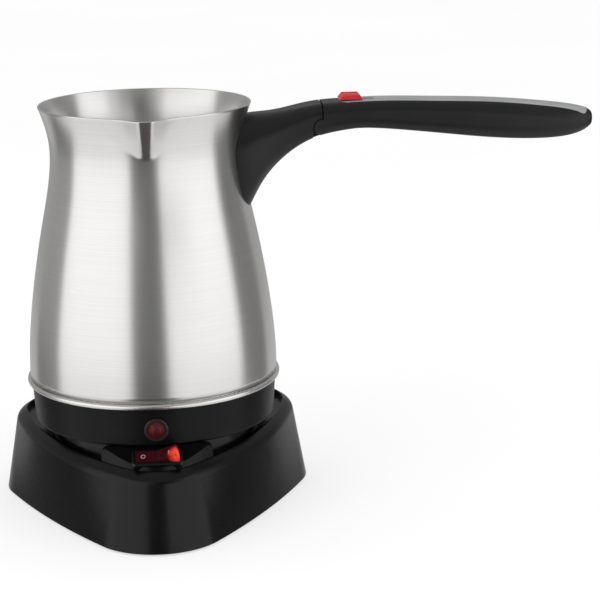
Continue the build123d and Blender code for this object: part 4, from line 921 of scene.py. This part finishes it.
# ---- The power base ------------------------------------------------------------------------------
@dataclass
class PowerBase:
    """Three-cornered base with its seat, connector, cord entry and lit rocker switch.

    The rocker turns about the pivot, on a switch that tilts to the front.  Its face is a
    shallow V: each half rises by half the throw to its end and carries a printed mark.
    """

    pivot: tuple[float, float, float] = (0.0, -55.225, 34.615)
    tilt_deg: float = 22.0
    throw_deg: float = 22.0
    rocker_rise: float = 1.9
    mark_reach: float = 5.2
    mark_r: float = 1.0
    mark_line: float = 0.24
    mark_squeeze: float = 0.8  # the ring is a little narrower than it is high
    steps_ring: int = 48
    print_height: float = 0.06
    print_sunk: float = 0.02  # the print's underside lies this far under the face
    nodes: dict[str, Finish] = field(
        default_factory=lambda: {
            "base_shell": Finish.BLACK,
            "bottom_cover": Finish.BLACK,
            "foot_ring": Finish.RUBBER,
            "cover_screws": Finish.ZINC,
            "cord_grommet": Finish.RUBBER,
            "terminal_block": Finish.NYLON,
            "base_connector": Finish.CONNECTOR,
            "connector_blades": Finish.BRASS,
            "connector_screws": Finish.ZINC,
            "switch_body": Finish.SWITCH,
            "switch_blades": Finish.BRASS,
            "base_leads": Finish.INSULATION,
            "switch_rocker": Finish.ROCKER,
        }
    )

    def rocker_face(self, side: int) -> Matrix:
        """Place of one half of the rocker's face.

        Args:
            side: -1 for the left half, 1 for the right.

        Returns:
            A matrix whose X runs along the half to the right, Y to the back and Z outwards,
            with its origin at the mark.
        """
        tilt, half = math.radians(self.tilt_deg), math.radians(self.throw_deg / 2)
        normal = Vector((0, -math.sin(tilt), math.cos(tilt)))
        back = Vector((0, math.cos(tilt), math.sin(tilt)))
        across = Vector((1, 0, 0))
        thrown = across * math.cos(half) + normal * math.sin(half)
        above = normal * math.cos(half) - across * math.sin(half)
        lean = side * half
        along = thrown * math.cos(lean) + above * math.sin(lean)
        out = above * math.cos(lean) - thrown * math.sin(lean)
        origin = Vector(self.pivot) + above * self.rocker_rise + along * side * self.mark_reach
        return Matrix.LocRotScale(origin, Matrix((along, back, out)).transposed(), None)

    def placed(self, flat: np.ndarray, side: int) -> np.ndarray:
        """Carry points from a half face's own plane into the object's frame.

        Args:
            flat: points along the half, to the back and outwards from the mark.
            side: -1 for the left half, 1 for the right.

        Returns:
            The points in the object's frame.
        """
        matrix = np.array(self.rocker_face(side))
        return flat @ matrix[:3, :3].T + matrix[:3, 3]

    def ring_mark(self) -> bpy.types.Object:
        """Off mark, a printed ring: a flat box section carried round a circle.

        Returns:
            The mark.
        """
        angle = np.linspace(0, 2 * math.pi, self.steps_ring, endpoint=False)[:, None]
        half = self.mark_line / 2
        reach = self.mark_r + np.array([half, half, -half, -half])[None, :]
        below, above = -self.print_sunk, self.print_height
        high = np.array([below, above, above, below])[None, :]
        wide = reach * np.cos(angle) * self.mark_squeeze
        flat = np.stack([wide, reach * np.sin(angle), high + 0 * angle], axis=-1)
        faces = grid_faces(angle.size, high.size, True, True)
        return mesh_piece("off_mark", self.placed(flat, -1), faces, smooth=False)

    def bar_mark(self) -> bpy.types.Object:
        """On mark, a printed bar: a flat box as wide as the ring's line and as high as the ring.

        Returns:
            The mark.
        """
        levels = (-self.print_sunk, self.print_height)
        corner = np.array([(x, y, z) for z in levels for y in (-1, 1) for x in (-1, 1)])
        flat = corner * (self.mark_line / 2, self.mark_r, 1.0)
        top_and_bottom = [(4, 5, 7, 6), (0, 2, 3, 1)]
        ends = [(0, 1, 5, 4), (2, 6, 7, 3)]
        sides = [(0, 4, 6, 2), (1, 3, 7, 5)]
        faces = np.array(top_and_bottom + ends + sides)
        return mesh_piece("on_mark", self.placed(flat, 1), faces, smooth=False)

    def build(self, frame: dict[str, Any]) -> None:
        """Dress the base and print the two marks on the rocker.
        """
        dress(frame, self.nodes)
        for mark in (self.ring_mark(), self.bar_mark()):
            clad(mark, Finish.PRINT)
            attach(mark, "rocker")
            LOG.info("rocker print: %s", mark.name)


# ---- The studio ----------------------------------------------------------------------------------
class Level(Enum):
    """Heights of the cards: two edges, each a reach from the axis and a height in metres."""

    TOP = ((0.02, 1.2), (1.3, 1.2))
    HIGH = ((1.3, 1.2), (1.3, 0.54))
    UPPER = ((1.3, 0.54), (1.3, -0.15))
    LOW = ((1.3, -0.15), (1.3, -0.6))
    EDGE = ((1.3, -0.6), (1.3, -1.2))
    GROUND = ((0.36, -0.15), (0.02, -0.15))


@dataclass(frozen=True)
class Card:
    """Curved card around the object, seen only in reflections.

    Angles are in degrees off the front, positive to the right; the radiance of white is 1.
    """

    name: str
    level: Level
    start: float
    end: float
    radiance: float


@dataclass(frozen=True)
class Softbox:
    """Square area lamp aimed at the object: where it stands in metres, its side and power."""

    name: str
    place: tuple[float, float, float]
    side: float
    watts: float


@dataclass
class Studio:
    """Pale floor, soft lamps, reflection cards and the camera.

    Distances are in metres and the camera's turns in radians.  The cards draw the light and
    dark bands of the steel: flags are dark, and steps and edges lead over to the bright
    cards beside them.
    """

    distance: float = 0.76884
    height: float = 0.27766
    pan: float = 0.0796
    pitch: float = 0.2474
    roll: float = -0.0173
    focal_px: float = 1917.4
    frame_px: float = 600.0
    sensor_mm: float = 36.0
    clip: Span = (0.05, 20.0)
    aim: tuple[float, float, float] = (0.02, 0.0, 0.08)
    backdrop: float = 1.0  # radiance of plain white
    steps_card: int = 48
    floor_half_mm: float = 6000.0
    floor_tones: tuple[str, str] = ("f7f7f7", "fbfbfb")
    floor_levels: Span = (0.3, 0.7)
    floor_cloud_mm: float = 1000 / 3
    floor_detail: float = 2.0
    floor_roughness: float = 0.9
    floor_specular: float = 0.1
    floor_glow: float = 0.6
    cards: tuple[Card, ...] = (
        Card("top", Level.TOP, -180.0, 180.0, 0.5),
        Card("high_flag", Level.HIGH, -5.0, 18.0, 0.08),
        Card("high_left_step", Level.HIGH, -14.0, -5.0, 0.4),
        Card("high_left_edge", Level.HIGH, -25.0, -14.0, 0.85),
        Card("high_left", Level.HIGH, -95.0, -25.0, 1.4),
        Card("high_right_step", Level.HIGH, 18.0, 32.0, 0.3),
        Card("high_right_edge", Level.HIGH, 32.0, 47.0, 0.75),
        Card("high_right", Level.HIGH, 47.0, 88.0, 1.4),
        Card("high_right_flag", Level.HIGH, 88.0, 128.0, 0.34),
        Card("high_back_left", Level.HIGH, -180.0, -95.0, 0.38),
        Card("high_back_right", Level.HIGH, 128.0, 180.0, 0.4),
        Card("front_flag", Level.UPPER, -19.5, 12.5, 0.2),
        Card("left_box", Level.UPPER, -95.0, -19.5, 1.33),
        Card("right_box", Level.UPPER, 12.5, 88.0, 1.33),
        Card("right_flag", Level.UPPER, 88.0, 128.0, 0.24),
        Card("back_left", Level.UPPER, -180.0, -95.0, 0.38),
        Card("back_right", Level.UPPER, 128.0, 180.0, 0.4),
        Card("low_front", Level.LOW, -19.5, 12.5, 0.1),
        Card("low_left", Level.LOW, -95.0, -19.5, 0.92),
        Card("low_right", Level.LOW, 12.5, 88.0, 0.92),
        Card("low_left_side", Level.LOW, -135.0, -95.0, 0.2),
        Card("low_right_side", Level.LOW, 88.0, 128.0, 0.2),
        Card("low_back", Level.LOW, 128.0, 225.0, 0.55),
        Card("edge_front", Level.EDGE, -24.0, 18.0, 0.06),
        Card("edge_left", Level.EDGE, -105.0, -24.0, 0.95),
        Card("edge_right", Level.EDGE, 18.0, 100.0, 0.95),
        Card("edge_left_side", Level.EDGE, -135.0, -105.0, 1.0),
        Card("edge_right_side", Level.EDGE, 100.0, 128.0, 1.0),
        Card("edge_back", Level.EDGE, 128.0, 225.0, 0.55),
        Card("ground_front", Level.GROUND, -30.0, 24.0, 0.06),
        Card("ground_left", Level.GROUND, -105.0, -30.0, 0.9),
        Card("ground_right", Level.GROUND, 24.0, 100.0, 0.9),
        Card("ground_back", Level.GROUND, 100.0, 255.0, 0.4),
    )
    lamps: tuple[Softbox, ...] = (
        Softbox("key_lamp", (-0.9, -0.9, 0.9), 0.9, 4.5),
        Softbox("fill_lamp", (1.0, -0.8, 0.7), 0.9, 3.0),
    )

    def camera(self) -> None:
        """Set the camera at the front, turned by pan, pitch and roll in that order."""
        ahead = Vector((
            math.sin(self.pan) * math.cos(self.pitch),
            math.cos(self.pan) * math.cos(self.pitch),
            -math.sin(self.pitch),
        ))
        right = Vector((math.cos(self.pan), -math.sin(self.pan), 0))
        up = right.cross(ahead)
        side = right * math.cos(self.roll) + up * math.sin(self.roll)
        top = up * math.cos(self.roll) - right * math.sin(self.roll)
        data = bpy.data.cameras.new("camera")
        data.sensor_width = self.sensor_mm
        data.lens = self.sensor_mm * self.focal_px / self.frame_px
        data.clip_start, data.clip_end = self.clip
        camera = bpy.data.objects.new("camera", data)
        turned = Matrix((side, top, -ahead)).transposed()
        camera.matrix_world = Matrix.LocRotScale(Vector((0, -self.distance, self.height)), turned, None)
        bpy.context.scene.collection.objects.link(camera)
        bpy.context.scene.camera = camera

    def card_piece(self, card: Card) -> None:
        """Set up a card: straight lines between its level's edges, carried round the axis.

        Args:
            card: the card, made a plain emitter that only reflections see.
        """
        turn = np.radians(np.linspace(card.start, card.end, self.steps_card))[None, :]
        reach, height = np.array(card.level.value).T[:, :, None] / MM
        points = np.stack([reach * np.sin(turn), -reach * np.cos(turn), height + 0 * turn], axis=-1)
        piece = mesh_piece(card.name, points, grid_faces(2, self.steps_card, False, False))
        material = blank_material(card.name)
        tree = material.node_tree
        light = add_node(tree, "ShaderNodeEmission", values={"Strength": card.radiance})
        add_node(tree, "ShaderNodeOutputMaterial", links={"Surface": light.outputs["Emission"]})
        piece.data.materials.append(material)
        piece.visible_camera = piece.visible_diffuse = piece.visible_shadow = False
        piece.visible_transmission = piece.visible_volume_scatter = False

    def lamp(self, box: Softbox) -> None:
        """Set up an area lamp aimed at the object, kept out of its reflections.

        Args:
            box: the lamp.
        """
        data = bpy.data.lights.new(box.name, "AREA")
        data.size = box.side
        data.energy = box.watts
        lamp = bpy.data.objects.new(box.name, data)
        lamp.location = box.place
        aim = Vector(self.aim) - Vector(box.place)
        lamp.rotation_euler = aim.to_track_quat("-Z", "Y").to_euler()
        lamp.visible_glossy = False
        bpy.context.scene.collection.objects.link(lamp)

    def floor(self) -> None:
        """Lay a wide pale floor at the table's height, matt with a barely uneven tone.

        A share of plain white, seen by the camera alone, lifts it towards the backdrop, so
        that only the soft shadow at the base is left.
        """
        half = self.floor_half_mm
        corners = np.array([(-half, -half, 0), (half, -half, 0), (half, half, 0), (-half, half, 0)])
        piece = mesh_piece("floor", corners, np.array([(0, 1, 2, 3)]), smooth=False)
        material = blank_material("matt_white_floor")
        tree = material.node_tree
        clouds = noise(tree, self.floor_cloud_mm, self.floor_detail)
        tint = two_tone(tree, clouds, self.floor_levels, self.floor_tones)
        matt = add_node(
            tree, "ShaderNodeBsdfPrincipled",
            values={"Roughness": self.floor_roughness, "Specular IOR Level": self.floor_specular},
            links={"Base Color": tint},
        )
        path = add_node(tree, "ShaderNodeLightPath")
        share = add_node(
            tree, "ShaderNodeMath", {"operation": "MULTIPLY"}, values={1: self.floor_glow},
            links={0: path.outputs["Is Camera Ray"]},
        )
        white = add_node(tree, "ShaderNodeEmission", values={"Strength": self.backdrop})
        mixed = add_node(
            tree, "ShaderNodeMixShader",
            links={0: share.outputs["Value"], 1: matt.outputs["BSDF"], 2: white.outputs["Emission"]},
        )
        add_node(tree, "ShaderNodeOutputMaterial", links={"Surface": mixed.outputs["Shader"]})
        piece.data.materials.append(material)
        piece.visible_glossy = False

    def world(self) -> None:
        """Surround everything with plain white, which also fills the shadows softly."""
        world = bpy.data.worlds.new("studio")
        world.use_nodes = True
        tree = world.node_tree
        tree.nodes.clear()
        light = add_node(
            tree, "ShaderNodeBackground", values={"Color": (1, 1, 1, 1), "Strength": self.backdrop}
        )
        add_node(tree, "ShaderNodeOutputWorld", links={"Surface": light.outputs["Background"]})
        bpy.context.scene.world = world

    def build(self) -> None:
        """Set up the whole studio."""
        bpy.context.scene.view_settings.view_transform = "Standard"
        self.camera()
        self.floor()
        self.world()
        for card in self.cards:
            self.card_piece(card)
        for box in self.lamps:
            self.lamp(box)
        LOG.info("studio: %d lamps and %d cards", len(self.lamps), len(self.cards))


def clear_scene() -> None:
    """Remove whatever the start-up scene holds."""
    for item in list(bpy.data.objects):
        bpy.data.objects.remove(item, do_unlink=True)


def main() -> None:
    """Load the frame, build the pieces and set up the studio."""
    logging.basicConfig(level=logging.INFO, format="%(name)s: %(message)s")
    clear_scene()
    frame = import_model()
    for assembly in (Jug(), Handle(), PowerBase()):
        assembly.build(frame)
    Studio().build()


if __name__ == "__main__":
    main()
